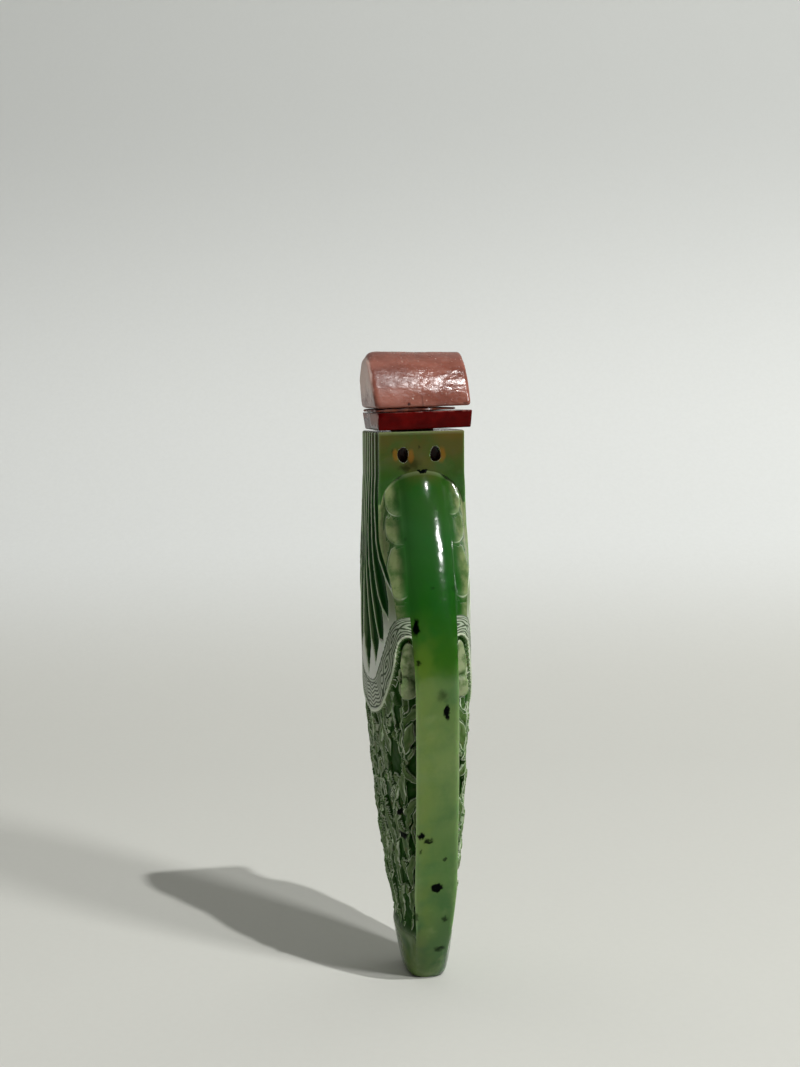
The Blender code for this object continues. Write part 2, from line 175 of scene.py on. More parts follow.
# Marks in a material: place, half sizes, softness, strength
# Dark marks low on the stone's front, along its bottom edge above the cement
STONE_DARK_MARKS = (
    ((6.0, -1.6, 82.5), (0.7, 0.22, 0.22), 0.35, 0.95), ((6.0, 6.4, 82.5), (0.8, 0.3, 0.12), 0.5, 0.7),
    ((6.0, -0.3, 82.1), (0.8, 0.6, 0.08), 0.5, 0.6),
)
STAINS = (
    ((6.3, -1.6, 75.3), (0.5, 0.4, 0.9), 0.4, 0.8), ((6.3, -3.75, 75.5), (0.5, 0.4, 0.8), 0.4, 0.9),
    ((6.3, 2.75, 75.4), (0.5, 0.55, 1.0), 0.45, 0.85), ((6.3, 4.4, 78.4), (0.5, 2.2, 0.8), 0.8, 0.25),
)
HOLE_INSIDES = tuple(
    ((side * 5.2, 0.5 * row * HOLE_SPACING + HOLE_SHIFT, HOLE_HEIGHT), (1.3, 0.92, 1.25), 0.06, 1.0)
    for side in (-1, 1) for row in (-1, 1))
# Frets of the swag: pitch along it, middle line, width of a ring, and where the lozenges begin
FRET_PITCH = 4.1
FRET_MIDDLE = 0.56
FRET_RING = 0.54
FRET_START = (6.5, 9.5)
# Cut lines along the swag: share across it, and half the width of the line and of its soft edge
SWAG_BORDERS = ((0.885, 0.012, 0.024), (0.975, 0.010, 0.022), (0.14, 0.012, 0.026))

# Steps of the body's grid
FACE_STEPS = 54
SIDE_STEPS = 22
STRAP_STEPS = 16
ROW_RUNS = ((0.7, 8.0, 0.5), (8.0, 38.0, 0.285), (38.0, 55.0, 0.225), (55.0, 73.0, 0.41))

# The arrises between a face's flutes, (height, distance from the middle) up from where each one splits
ARRISES = (
    ((49.6, 3.1), (51.6, 2.6), (54.3, 1.85), (56.4, 1.5), (58.4, 1.05), (61.2, 0.8), (66.0, 0.7),
     (79.0, 0.7)),
    ((50.2, 7.4), (52.6, 6.0), (55.3, 4.8), (58.0, 3.7), (60.0, 3.05), (61.4, 2.75), (63.5, 2.4),
     (66.3, 2.2), (72.0, 2.1), (79.0, 2.1)),
    ((54.6, 8.6), (56.1, 7.4), (58.6, 6.15), (61.0, 5.25), (63.7, 4.5), (66.5, 4.0), (69.2, 3.65),
     (73.0, 3.5), (79.0, 3.5)),
    ((58.9, 9.45), (60.3, 8.3), (61.2, 7.45), (62.5, 6.7), (63.8, 6.1), (66.6, 5.35), (69.0, 4.95),
     (73.0, 4.9), (79.0, 4.9)),
)
ARRIS_COLUMNS = (6, 18, 30, 42)
# The pointed lower ends of the flutes: inner and outer side of each, up from the tip
FLUTE_ENDS = (
    ((), ((44.0, 0.0), (45.6, 1.1), (47.6, 2.35))),
    (((46.0, 5.1), (47.2, 4.9), (48.4, 4.3)), ((46.0, 5.1), (47.3, 6.1), (48.9, 7.0))),
    (((49.8, 9.0), (50.0, 8.3)), ((49.8, 9.0), (51.4, 9.1), (53.0, 8.95))),
    (((52.9, 10.5), (53.7, 9.8)), ((52.9, 10.5), (56.0, 10.4), (57.3, 10.0))),
    (((55.7, 12.7), (56.7, 11.6)), ((55.7, 12.7),)),
)
# The swag's middle line: girth, height, half its width
SWAG = ((0.0, 41.05, 2.45), (3.55, 41.55, 2.3), (6.2, 42.55, 2.3), (8.5, 44.7, 2.2), (9.8, 46.4, 2.05),
        (10.7, 48.0, 1.8), (11.3, 49.5, 1.5), (12.0, 51.0, 1.4), (13.0, 52.05, 1.4),
        (14.3, 52.45, 1.35), (15.6, 52.1, 1.2), (16.5, 51.2, 1.1))
PENDANT = ((14.3, 50.4), (13.7, 49.9), (13.5, 48.6), (13.2, 47.4), (12.6, 46.4), (12.5, 45.0), (12.65, 43.8),
           (13.5, 42.8), (14.8, 42.6), (15.7, 43.3), (15.85, 45.0), (15.6, 46.8), (15.8, 48.6), (15.4, 49.9),
           (14.3, 50.4))
# Lobes of the leaf beside the dome: middle (girth, height), half sizes, lean
LOBES = ((11.3, 69.7, 2.7, 2.5, 0.1), (11.3, 65.7, 2.7, 2.3, -0.15), (12.3, 60.0, 2.3, 3.9, -0.12))

# The scrolls: stem, first leaf, spacing, leaf's length, half-width and spread in degrees
VINES = (
    (((0.0, 8.0), (0.5, 16.0), (-0.5, 24.0), (0.4, 32.0), (0.0, 38.0)), 0.8, 5.2, 7.0, 0.72, 13.0),
    (((3.6, 8.0), (2.6, 14.0), (4.2, 20.0), (2.8, 26.0), (4.2, 32.0), (3.2, 39.0)),
     2.2, 5.4, 7.2, 0.78, 13.0),
    (((7.2, 8.0), (8.2, 14.0), (6.6, 20.0), (7.8, 26.0), (6.8, 32.0), (7.6, 38.0), (8.8, 42.0)),
     1.2, 5.2, 6.8, 0.8, 15.0),
    (((11.8, 8.0), (12.7, 14.0), (11.6, 20.0), (12.8, 26.0), (12.0, 31.0), (12.8, 36.0), (13.2, 41.5)),
     2.4, 4.4, 5.8, 0.95, 22.0),
)
# Leaves on their own: root, tip, half-width, bend
FREE_LEAVES = (
    ((12.2, 34.6), (14.3, 39.4), 1.0, 0.25), ((11.4, 27.6), (12.6, 32.8), 0.95, -0.2),
    ((14.4, 30.6), (12.2, 34.4), 0.6, -0.3), ((8.6, 21.6), (9.9, 26.4), 0.8, 0.2),
    ((7.6, 33.8), (6.2, 39.0), 0.8, 0.3), ((2.2, 33.4), (0.6, 38.0), 0.7, -0.2),
)
# Rosettes: middle, radius, petals
ROSETTES = (((10.4, 37.2), 0.9, 6), ((6.0, 30.4), 0.85, 5), ((9.4, 29.2), 0.7, 5), ((3.4, 20.6), 0.8, 6))
# Stems that lie over the leaves: run, half-width, height
STEMS = (
    (((12.6, 42.8), (12.3, 40.0), (12.0, 37.6), (12.3, 35.2), (13.2, 33.6)), 0.24, -0.22),
    (((10.2, 43.0), (9.6, 40.4), (10.6, 38.2)), 0.22, -0.2),
    (((7.0, 29.6), (8.6, 28.0), (10.2, 26.2)), 0.24, -0.2),
    (((10.2, 29.8), (9.0, 27.6), (7.6, 26.0)), 0.24, -0.2),
    (((14.6, 27.0), (13.8, 23.6), (14.4, 20.2)), 0.26, -0.2),
)


def clamp(value, low=0.0, high=1.0):
    return np.minimum(np.maximum(value, low), high)


def smooth(value):
    """Smooth step from 0 to 1."""
    t = clamp(value)
    return t * t * (3.0 - 2.0 * t)


def between(level, limits):
    """Smooth step over a range of levels."""
    return smooth((level - limits[0]) / (limits[1] - limits[0]))


def arc(value, power=2.0):
    """Falls from 1 at 0 to 0 at 1 along a superellipse."""
    return (1.0 - clamp(value) ** power) ** (1.0 / power)


def half_width(level):
    """Half the body's width: lean shoulders above the belly, a long taper below."""
    upper = NECK_HALF_WIDTH + (BELLY_HALF_WIDTH - NECK_HALF_WIDTH) * arc(
        (level - BELLY_HEIGHT) / (SHOULDER_TOP - BELLY_HEIGHT), SHOULDER_LEANNESS)
    lower = BELLY_HALF_WIDTH * arc((BELLY_HEIGHT - level) / WIDTH_RUN, FLANK_LEANNESS)
    return np.where(level > BELLY_HEIGHT, upper, lower)


def eased_half_width(level):
    """The half-width with its turn at the belly eased over a few millimetres."""
    eased = sum(half_width(level + shift) for shift in (-2.4, -1.2, 0.0, 1.2, 2.4)) / 5.0
    share = between(level, BELLY_EASE[0]) * (1.0 - between(level, BELLY_EASE[1]))
    return half_width(level) * (1.0 - share) + eased * share


def half_depth(level):
    """Half the body's depth."""
    upper = NECK_HALF_DEPTH + (BELLY_HALF_DEPTH - NECK_HALF_DEPTH) * arc(
        (level - THICKEST_HEIGHT) / (SHOULDER_TOP + 2.0 - THICKEST_HEIGHT))
    lower = BELLY_HALF_DEPTH * arc((THICKEST_HEIGHT - level) / DEPTH_RUN, DEPTH_LEANNESS)
    return np.where(level > THICKEST_HEIGHT, upper, lower)


def face_edge(level):
    """X and Y of the line where a broad face meets the narrow side."""
    spread = smooth((SHOULDER_TOP - level) / FAN_RUN)
    edge_x = NECK_HALF_WIDTH + (half_width(level) - COVE_WIDTH - NECK_HALF_WIDTH) * spread
    fall = NECK_EDGE_FALL + (FACE_EDGE_FALL - NECK_EDGE_FALL) * (1.0 - between(level, FACE_EDGE_TURN))
    return edge_x, half_depth(level) * (1.0 - fall)


def strap_half(level):
    """Half the width of the plain strap down the middle of each narrow side."""
    widening = between(level, STRAP_TURN)
    return np.minimum(STRAP_HALF + (DOME_HALF - STRAP_HALF) * widening, 0.9 * face_edge(level)[1])


def bowed(level, depth):
    """Level moved down with distance from the narrow side's middle, so that rows arch over the dome."""
    share = clamp(depth / DOME_SPAN)
    drop = DOME_DROP * (1.0 - np.sqrt(1.0 - share ** 2))
    near = np.where(level < SHOULDER_TOP, between(level, (DOME_FOOT, SHOULDER_TOP)),
                    1.0 - between(level, (SHOULDER_TOP, NECK_TOP - BRIM_BEVEL)))
    return level - drop * near


def face_points(share, level):
    """Points of a column on a broad face."""
    edge_x, edge_y = face_edge(level)
    x = share * edge_x
    y = edge_y + (half_depth(level) - edge_y) * (1.0 - np.abs(share) ** FACE_CROWN)
    return x, y, bowed(level, edge_y)


def arris(level):
    """Size of the small bevel along the strap's edges, which fades out beside the dome."""
    return ARRIS * (1.0 - 0.85 * between(level, STRAP_TURN))


def side_points(along, level):
    """Points of a column between the strap's edge (0) and the face's edge (1)."""
    edge_x, edge_y = face_edge(level)
    round_off = DOME_ROUNDNESS * between(level, STRAP_TURN) * (1.0 - math.sqrt(1.0 - DOME_CURVE))
    strap_x = eased_half_width(level) - round_off - arris(level)
    strap_y = strap_half(level)
    low = (1.0 - between(level, COVE_TURN)) * between(level, COVE_FOOT)
    dip = COVE_DIP * low * math.sin(math.pi * along)
    y = strap_y + (edge_y - strap_y) * (along + low * (along ** 2 - along)) - dip
    x = strap_x + (edge_x - strap_x) * (along ** 1.6 + low * (along ** 0.8 - along ** 1.6))
    z = bowed(level, y)
    x = np.where(level >= SHOULDER_TOP, NECK_HALF_WIDTH, x)
    return x, y, z


def strap_points(share, level):
    """Points of a column on the strap and, above it, the dome."""
    y = share * strap_half(level)
    roundness = DOME_ROUNDNESS * between(level, STRAP_TURN)
    edge = arris(level) * clamp((np.abs(share) - 0.86) / 0.14)
    x = eased_half_width(level) - roundness * (1.0 - math.sqrt(1.0 - DOME_CURVE * share ** 2)) - edge
    x = np.where(level >= SHOULDER_TOP, NECK_HALF_WIDTH, x)
    return x, y, bowed(level, y)


def column_share(column, level):
    """Share of the face's half-width at which a column runs: the columns follow the arrises."""
    at, shares = [0.0], [np.zeros_like(level)]
    edge_x = face_edge(level)[0]
    for number, line in zip(ARRIS_COLUMNS, ARRISES):
        heights, places = zip(*line)
        low = np.array([heights[0]])
        start = places[0] / face_edge(low)[0][0]
        below = start + (number / FACE_STEPS - start) * smooth((heights[0] - level) / 7.0)
        above = np.interp(level, heights, places) / edge_x
        at.append(number)
        shares.append(np.where(level < heights[0], below, above))
    at.append(FACE_STEPS)
    shares.append(np.ones_like(level))
    index = max(i for i in range(len(at) - 1) if at[i] <= column)
    t = (column - at[index]) / (at[index + 1] - at[index])
    return shares[index] * (1.0 - t) + shares[index + 1] * t


def body_levels():
    """Heights of the grid's rows, closest together over the swag."""
    foot = [0.0, 0.06, 0.15, 0.3, 0.5]
    rows = [level for low, high, step in ROW_RUNS for level in np.arange(low, high - 0.3 * step, step)]
    rim = [SHOULDER_TOP - 0.2, SHOULDER_TOP, SHOULDER_TOP + 0.05]
    neck = list(np.arange(SHOULDER_TOP + 0.4, NECK_TOP - 0.3, 0.45))
    return np.array(foot + rows + rim + neck + [NECK_TOP - BRIM_BEVEL, NECK_TOP])


def quarter_columns(level):
    """Columns of one quarter (+X, +Y), from the strap's middle to the face's middle."""
    columns = []
    for step in range(STRAP_STEPS // 2 + 1):
        columns.append(strap_points(2.0 * step / STRAP_STEPS, level))
    for step in range(1, SIDE_STEPS + 1):
        columns.append(side_points(step / SIDE_STEPS, level))
    for step in range(FACE_STEPS - 1, -1, -1):
        columns.append(face_points(column_share(step, level), level))
    return [np.stack(np.broadcast_arrays(*column), axis=1) for column in columns]


def girth(columns):
    """Distance along the surface from the face's middle, for every point, and at the strap's edge."""
    back = columns[::-1]
    steps = np.linalg.norm(np.diff(back, axis=0), axis=2)
    total = np.concatenate([np.zeros((1, columns.shape[1])), np.cumsum(steps, axis=0)])[::-1]
    return total, total[STRAP_STEPS // 2]


def run_distance(g, z, points):
    """Distance to a run of points, the way along it at the nearest place, and the side (left is +)."""
    best = np.full(g.shape, NOWHERE)
    along = np.zeros(g.shape)
    side = np.ones(g.shape)
    run = 0.0
    for (g0, z0), (g1, z1) in zip(points, points[1:]):
        ag, az = g1 - g0, z1 - z0
        length = math.hypot(ag, az)
        t = clamp(((g - g0) * ag + (z - z0) * az) / length ** 2)
        dg, dz = g - g0 - t * ag, z - z0 - t * az
        distance = np.hypot(dg, dz)
        nearer = distance < best
        best = np.where(nearer, distance, best)
        along = np.where(nearer, run + t * length, along)
        side = np.where(nearer, np.where(ag * dz - az * dg >= 0.0, 1.0, -1.0), side)
        run += length
    return best, along, side


def curve_through(points, steps=6):
    """Catmull-Rom points through a few control points."""
    ends = [points[0]] + list(points) + [points[-1]]
    made = []
    for a, b, c, d in zip(ends, ends[1:], ends[2:], ends[3:]):
        for step in range(steps):
            t = step / steps
            made.append(tuple(0.5 * (2 * b[i] + (c[i] - a[i]) * t
                                     + (2 * a[i] - 5 * b[i] + 4 * c[i] - d[i]) * t * t
                                     + (3 * b[i] - a[i] - 3 * c[i] + d[i]) * t ** 3)
                              for i in range(len(b))))
    made.append(tuple(points[-1]))
    return made


def flute_field(x, z):
    """Depth of the flutes, and the signed distance to their sides (positive inside a flute)."""
    edge_levels = np.arange(FLUTE_ENDS[-1][1][0][0], NECK_TOP + 1.0, 1.0)
    edge_run = tuple(zip(edge_levels, face_edge(edge_levels)[0]))
    depth = np.zeros(x.shape)
    inside = np.zeros(x.shape, bool)
    nearest = np.full(x.shape, NOWHERE)
    for number, (inner, outer) in enumerate(FLUTE_ENDS):
        if number > 0:
            inner = inner + ARRISES[number - 1]
        outer = outer + (ARRISES[number] if number < len(ARRISES) else edge_run[1:])
        outer_z, outer_x = zip(*outer)
        high = np.interp(z, outer_z, outer_x)
        low = np.interp(z, *zip(*inner)) if number > 0 else -high
        width = np.maximum(high - low, 1e-3)
        here = (z > outer_z[0]) & (x >= low) & (x <= high)
        across = (2.0 * x - low - high) / width
        depth = np.where(here, -FLUTE_DEPTH * width * (1.0 - across ** 2), depth)
        inside |= here
        for side in (inner, outer) if number > 0 else (outer,):
            points = [(place, height) for height, place in side]
            nearest = np.minimum(nearest, run_distance(x, z, points)[0])
    return depth, np.where(inside, nearest, -nearest)


def band_place(g, z):
    """The swag as a strip: share across it (0 low line, 1 high line) and millimetres along it."""
    strip = curve_through(SWAG, 5)
    middle = [(place, height) for place, height, half in strip]
    distance, along, side = run_distance(g, z, middle)
    half = np.interp(along, run_lengths(middle), [half for place, height, half in strip])
    return 0.5 + 0.5 * side * distance / half, along, half


def leaf_shape(g, z, root, tip, half, bend):
    """A bent pointed oval with a rib and a lifted tip: distance inside its outline, and height."""
    ag, az = tip[0] - root[0], tip[1] - root[1]
    length = math.hypot(ag, az)
    along = ((g - root[0]) * ag + (z - root[1]) * az) / length ** 2
    aside = ((g - root[0]) * az - (z - root[1]) * ag) / length
    t = clamp(along)
    aside = aside - bend * 4.0 * t * (1.0 - t)
    reach = half * (2.05 * np.sqrt(t) * (1.0 - t) ** 0.8 + 0.12 * (1.0 - t))
    distance = np.minimum(reach - np.abs(aside), length * np.minimum(along + 0.05, 1.0 - along))
    rib = ridge(aside, 0.13) * smooth(4.0 * t) * smooth(4.0 * (1.0 - t))
    lift = -LEAF_DEPTHS[0] + (LEAF_DEPTHS[0] - LEAF_DEPTHS[1]) * smooth(1.35 * t)
    lift = lift + 0.08 * smooth(1.0 - distance / 0.3) - 0.13 * rib - 0.10 * smooth(0.15 - distance)
    return distance, lift


def rosette_shape(g, z, centre, radius, petals):
    """A small rosette: petals round a bead."""
    dg, dz = g - centre[0], z - centre[1]
    angle = np.arctan2(dz, dg)
    distance = np.hypot(dg, dz)
    reach = radius * (0.82 + 0.18 * np.abs(np.cos(0.5 * petals * angle)))
    between_petals = ridge(np.sin(0.5 * petals * angle), 0.3) * smooth(distance / radius)
    bead = 1.0 - clamp(distance / (0.36 * radius)) ** 2
    lift = -0.16 - 0.22 * between_petals + 0.16 * bead - 0.18 * ridge(distance - 0.42 * radius, 0.09)
    return np.minimum(reach - distance, np.abs(distance - 0.40 * radius) + 0.02), lift


def ridge(distance, width):
    return np.exp(-(distance / width) ** 2)


def run_lengths(points):
    """Length of the run of points up to each of them."""
    return np.concatenate([[0.0], np.cumsum([math.dist(a, b) for a, b in zip(points, points[1:])])])


def vine_leaves(points, first, spacing, length, half, spread):
    """Leaves (root, tip, half-width, bend) in pairs along a stem."""
    made = []
    run = run_lengths(points)
    count = 0
    at = first
    while at < run[-1] - 0.4:
        root, ahead = [tuple(float(np.interp(place, run, values)) for values in zip(*points))
                       for place in (at, at + 0.5)]
        heading = math.atan2(ahead[1] - root[1], ahead[0] - root[0])
        for side in (1.0, -1.0):
            vary = 1.0 + 0.22 * math.sin(2.1 * count + 1.3 * side + first)
            angle = heading + side * math.radians(spread * (1.0 + 0.25 * math.sin(1.7 * count + side)))
            tip = (root[0] + length * vary * math.cos(angle), root[1] + length * vary * math.sin(angle))
            made.append((root, tip, half * (0.8 + 0.2 * vary), 0.13 * side * length * vary))
        count += 1
        at += spacing
    return made


def paint(top, rim, distance, lift):
    """Lay one carved shape over what is there, with a cut groove round it."""
    over = smooth((distance + 0.17) / 0.34)
    groove = top - 0.09 * ridge(distance + 0.28, 0.20)
    return groove * (1.0 - over) + lift * over, np.where(distance > -0.30, distance, rim)


def field_relief(g, z):
    """The leaf scrolls between the swag and the foot, where g reaches MAP_GIRTH at the strap's edge."""
    top = np.full(g.shape, -GROUND_DEPTH)
    rim = np.full(g.shape, -0.5)
    leaves = []
    for control, first, spacing, length, half, spread in VINES:
        points = curve_through(control)
        distance = run_distance(g, z, points)[0]
        top, rim = paint(top, rim, 0.30 - distance, -VINE_DEPTH - 0.9 * distance)
        leaves += vine_leaves(points, first, spacing, length, half, spread)
    leaves.sort(key=lambda leaf: leaf[0][1] * 0.7 + leaf[2])
    for leaf in leaves + list(FREE_LEAVES):
        top, rim = paint(top, rim, *leaf_shape(g, z, *leaf))
    for rosette in ROSETTES:
        top, rim = paint(top, rim, *rosette_shape(g, z, *rosette))
    for control, half, level in STEMS:
        distance = run_distance(g, z, curve_through(control))[0]
        top, rim = paint(top, rim, half - distance, level - 0.8 * (distance / half) ** 2 * half)
    return top, rim


def pendant_relief(g, z, top, rim):
    """The drop that hangs in the swag's arch beside the strap: a fan, a pierced eye and a bulb."""
    outline = curve_through(PENDANT, 4)
    distance = run_distance(g, z, outline)[0]
    inside = np.zeros(g.shape, bool)
    for (g0, z0), (g1, z1) in zip(outline, outline[1:]):
        crossing = (z0 > z) != (z1 > z)
        place = g0 + (z - z0) * (g1 - g0) / (z1 - z0 if z1 != z0 else 1e-9)
        inside ^= crossing & (g < place)
    signed = np.where(inside, distance, -distance)
    recess = -RECESS_DEPTH * smooth(2.2 + signed)
    top = np.where(signed > -2.2, np.minimum(recess, np.maximum(top, recess)), top)
    bulb = np.hypot((g - 14.1) / 1.6, (z - 44.0) / 1.7)
    swell = -0.30 + 0.28 * clamp(1.0 - bulb ** 2) + 0.10 * smooth((z - 45.5) / 3.0)
    lift = swell - 0.22 * ridge(bulb - 1.0, 0.10) * (z > 44.0)
    top, rim = paint(top, rim, signed, lift)
    eye = np.hypot((g - 13.25 + 0.12 * (z - 45.9)) / 0.42, (z - 45.8) / 1.15)
    top = np.where(eye < 1.0, -EYE_DEPTH, top)
    return top, np.where(eye < 1.25, (eye - 1.0) * 0.5, rim), (signed > 0.0) & (eye > 1.1)


def lobe_relief(g, z):
    """Three lobes of a scalloped leaf beside the dome, each dished with a raised rim."""
    top = np.zeros(g.shape)
    rim = np.full(g.shape, 2.0)
    for centre_g, centre_z, half_g, half_z, lean in reversed(LOBES):
        dg = g - centre_g - lean * (z - centre_z)
        share = np.hypot(dg / half_g, (z - centre_z) / half_z)
        distance = (1.0 - share) * min(half_g, half_z)
        dish = 0.10 * ridge(distance - 0.18, 0.26) - 0.26 * smooth((distance - 0.25) / 1.4)
        inside = smooth((distance + 0.14) / 0.28)
        top = top * (1.0 - inside) + dish * inside - 0.03 * ridge(distance + 0.26, 0.2)
        rim = np.where(distance > -0.5, distance, rim)
    return top, rim


def carved_height(points, g, edge, levels):
    """Relief over one quarter, and the fields that the material reads."""
    x, y, z = points[..., 0], points[..., 1], points[..., 2]
    column = np.arange(points.shape[0])[:, None]
    face = np.broadcast_to(column >= STRAP_STEPS // 2 + SIDE_STEPS, g.shape)
    strap = np.broadcast_to(column <= STRAP_STEPS // 2, g.shape)
    level = np.broadcast_to(levels[None, :], g.shape)
    share, along, half = band_place(g, z)
    share = np.where(strap | (level > SWAG_CEILING), 6.0, share)
    near_strap = smooth((edge[None, :] - g) / 0.8)

    flutes, flute_rim = flute_field(x, z)
    upper = np.where(face, flutes, 0.0)
    lobes, lobe_rim = lobe_relief(g, z)
    shield = smooth((y - strap_half(levels)[None, :]) / 1.5) * smooth((y - 0.4) / 1.2)
    on_side = (~face) & (~strap) & (level < SHOULDER_TOP)
    upper = np.where(on_side, lobes * shield, upper)
    upper_rim = np.where(face, flute_rim, np.where(on_side, lobe_rim, 2.0))

    wobble = 0.10 * np.sin(1.9 * z + 0.7 * x) + 0.08 * np.sin(3.1 * z - 1.3 * y + 1.0)
    field, field_rim = field_relief((g + wobble) * MAP_GIRTH / np.maximum(edge[None, :], 1.0), z)
    arch = (g > ARCH_CORNER[0]) & (z > ARCH_CORNER[1])
    dropped, dropped_rim, pendant = pendant_relief(g, z, field, field_rim)
    field = np.where(arch, dropped, field)
    field_rim = np.where(arch, dropped_rim, field_rim)
    fade = between(z, FIELD_FADE) * near_strap
    lower = np.maximum(field, -DEEPEST_CUT) * smooth((-share) * 2.0 * half / 0.28) * fade

    rim_line = 0.14 * ridge(share - 0.06, 0.06)
    inner = -0.20 * ridge((share - 0.14) * 2.0 * half, 0.10)
    border = -0.14 * ridge((share - 0.93) * 2.0 * half, 0.10)
    band = (rim_line + inner + border) * near_strap

    h = np.where(share >= 1.0, upper, np.where(share > 0.0, band, lower))
    h = np.where(strap, 0.0, h)
    lip = LIP_RISE * ridge(level - (SHOULDER_TOP - 0.25), 0.22)
    h = h + np.where((level < SHOULDER_TOP) & (y < DOME_SPAN) & ~face, lip, 0.0)
    rim = np.where(share >= 1.0, upper_rim, np.where(share > 0.0, 2.0, field_rim))
    rim = np.where(strap, 2.0, rim)
    fields = {
        "rim": rim,
        "share": share,
        "along": along,
        "fluted": np.where(face & (share >= 1.0), 1.0, 0.0),
        "leafy": np.where((share <= 0.0) & ~strap, 1.0, 0.0) * between(z, (5.5, 8.5)),
        "lobed": np.where(on_side & (share >= 1.0), shield, 0.0),
        "pale": np.where(pendant & arch & (share <= 0.0) & ~strap, near_strap, 0.0),
    }
    return h, fields


def rounded_foot(points, levels):
    """Points eased into a plain rounded foot."""
    share = 1.0 - between(levels, FOOT_PLAIN)
    wide, deep = half_width(levels), half_depth(levels)
    angle = np.arctan2(points[..., 1] / deep, points[..., 0] / wide)
    drawn_in = FOOT_ROUND * (1.0 - clamp(levels)) ** 2
    round_x = (wide - drawn_in) * np.abs(np.cos(angle)) ** FOOT_SQUARENESS
    round_y = (deep - drawn_in) * np.abs(np.sin(angle)) ** FOOT_SQUARENESS
    made = points.copy()
    made[..., 0] += share * (round_x - points[..., 0])
    made[..., 1] += share * (round_y - points[..., 1])
    return made


def all_round(quarter, flips):
    """Four quarters joined into full rings, starting at the middle of the front face."""
    turned = []
    for sx, sy, backwards in ((1, -1, True), (1, 1, False), (-1, 1, True), (-1, -1, False)):
        part = quarter * np.array([sx, sy, 1.0]) if flips else quarter
        turned.append(part[::-1][:-1] if backwards else part[:-1])
    return np.concatenate(turned)


def blurred(field, times):
    """A field round the body, smoothed along both of its directions."""
    for _ in range(times):
        rows = np.pad(field, ((0, 0), (1, 1)), mode="edge")
        field = 0.5 * field + 0.25 * (rows[:, :-2] + rows[:, 2:])
        field = 0.5 * field + 0.25 * (np.roll(field, 1, 0) + np.roll(field, -1, 0))
    return field


def grid_mesh(name, points, values):
    """A closed body from full rings (columns x rows x 3) with float attributes per point."""
    count, rows = points.shape[:2]
    index = np.arange(count * rows).reshape(count, rows)
    after = np.roll(index, -1, axis=0)
    quads = np.stack([index[:, :-1], after[:, :-1], after[:, 1:], index[:, 1:]], axis=-1).reshape(-1, 4)
    faces = quads.tolist() + [index[::-1, 0].tolist(), index[:, -1].tolist()]
    data = bpy.data.meshes.new(name)
    data.from_pydata((points.reshape(-1, 3) * MM).tolist(), [], faces)
    for key, value in values.items():
        layer = data.attributes.new(key, "FLOAT", "POINT")
        layer.data.foreach_set("value", value.astype(np.float32).ravel())
    data.update()
    return data


def body_data():
    """The carved body's outside, closed at both ends."""
    levels = body_levels()
    quarter = np.array(quarter_columns(levels))
    g, edge = girth(quarter)
    relief, fields = carved_height(quarter, g, edge, levels)
    quarter = rounded_foot(quarter, levels)
    points = all_round(quarter, True)
    points[..., 1] -= BOW * np.sin(math.pi * points[..., 2] / NECK_TOP)
    h = all_round(relief, False)
    fields = {name: all_round(field, False) for name, field in fields.items()}
    h = h + UNEVENNESS * waviness(points) * fields["leafy"]
    around = np.roll(points, -1, axis=0) - np.roll(points, 1, axis=0)
    upward = np.gradient(points, axis=1)
    normal = np.cross(around, upward)
    normal /= np.linalg.norm(normal, axis=2)[..., None] + 1e-12
    side = np.sign(points[..., 0])
    normal[..., 0] = side * np.maximum(normal[..., 0] * side, 0.0)
    flat = np.where(levels >= NECK_TOP - 0.3, 0.0, 1.0)
    normal[..., 2] *= flat[None, :]
    points = points + normal * h[..., None]
    points[..., 0] = np.clip(points[..., 0], -REACH, REACH)
    points[:, -1, 0] *= 1.0 - BRIM_BEVEL / NECK_HALF_WIDTH
    points[:, -1, 1] *= 1.0 - BRIM_BEVEL / NECK_HALF_DEPTH
    # Pale crests: raised edges, partly frost and partly painted highlight; painted highlights on the neck's
    # top rim and the strap's edges
    brim = between(levels, (NECK_TOP - 0.35, NECK_TOP))[None, :]
    crest_frost_and_highlight = np.maximum(clamp((h - blurred(h, 6)) / 0.12), brim)
    strap_edge_highlight = between(levels, ARRIS_HIGHLIGHT_LEVELS[0]) * (1.0 - between(levels, ARRIS_HIGHLIGHT_LEVELS[1]))
    first = quarter.shape[0] - 1 - STRAP_STEPS // 2
    for column in (first, first + STRAP_STEPS, -first, -first - STRAP_STEPS):
        crest_frost_and_highlight[column] = np.maximum(crest_frost_and_highlight[column], strap_edge_highlight)
    return grid_mesh("jade_body", points, {**fields, "crest_frost_and_highlight": crest_frost_and_highlight, "hollow": clamp(-h / 0.8)})


def waviness(points):
    """Hand-cut unevenness, smooth over about a millimetre, the same in every run."""
    x, y, z = points[..., 0], points[..., 1], points[..., 2]
    total = np.sin(2.3 * x + 1.1 * z) * np.sin(1.7 * z + 0.9 * y + 2.0)
    return total + 0.7 * np.sin(4.1 * z + 2.9 * x + 0.5) * np.sin(3.3 * y - 2.1 * x + 1.0)


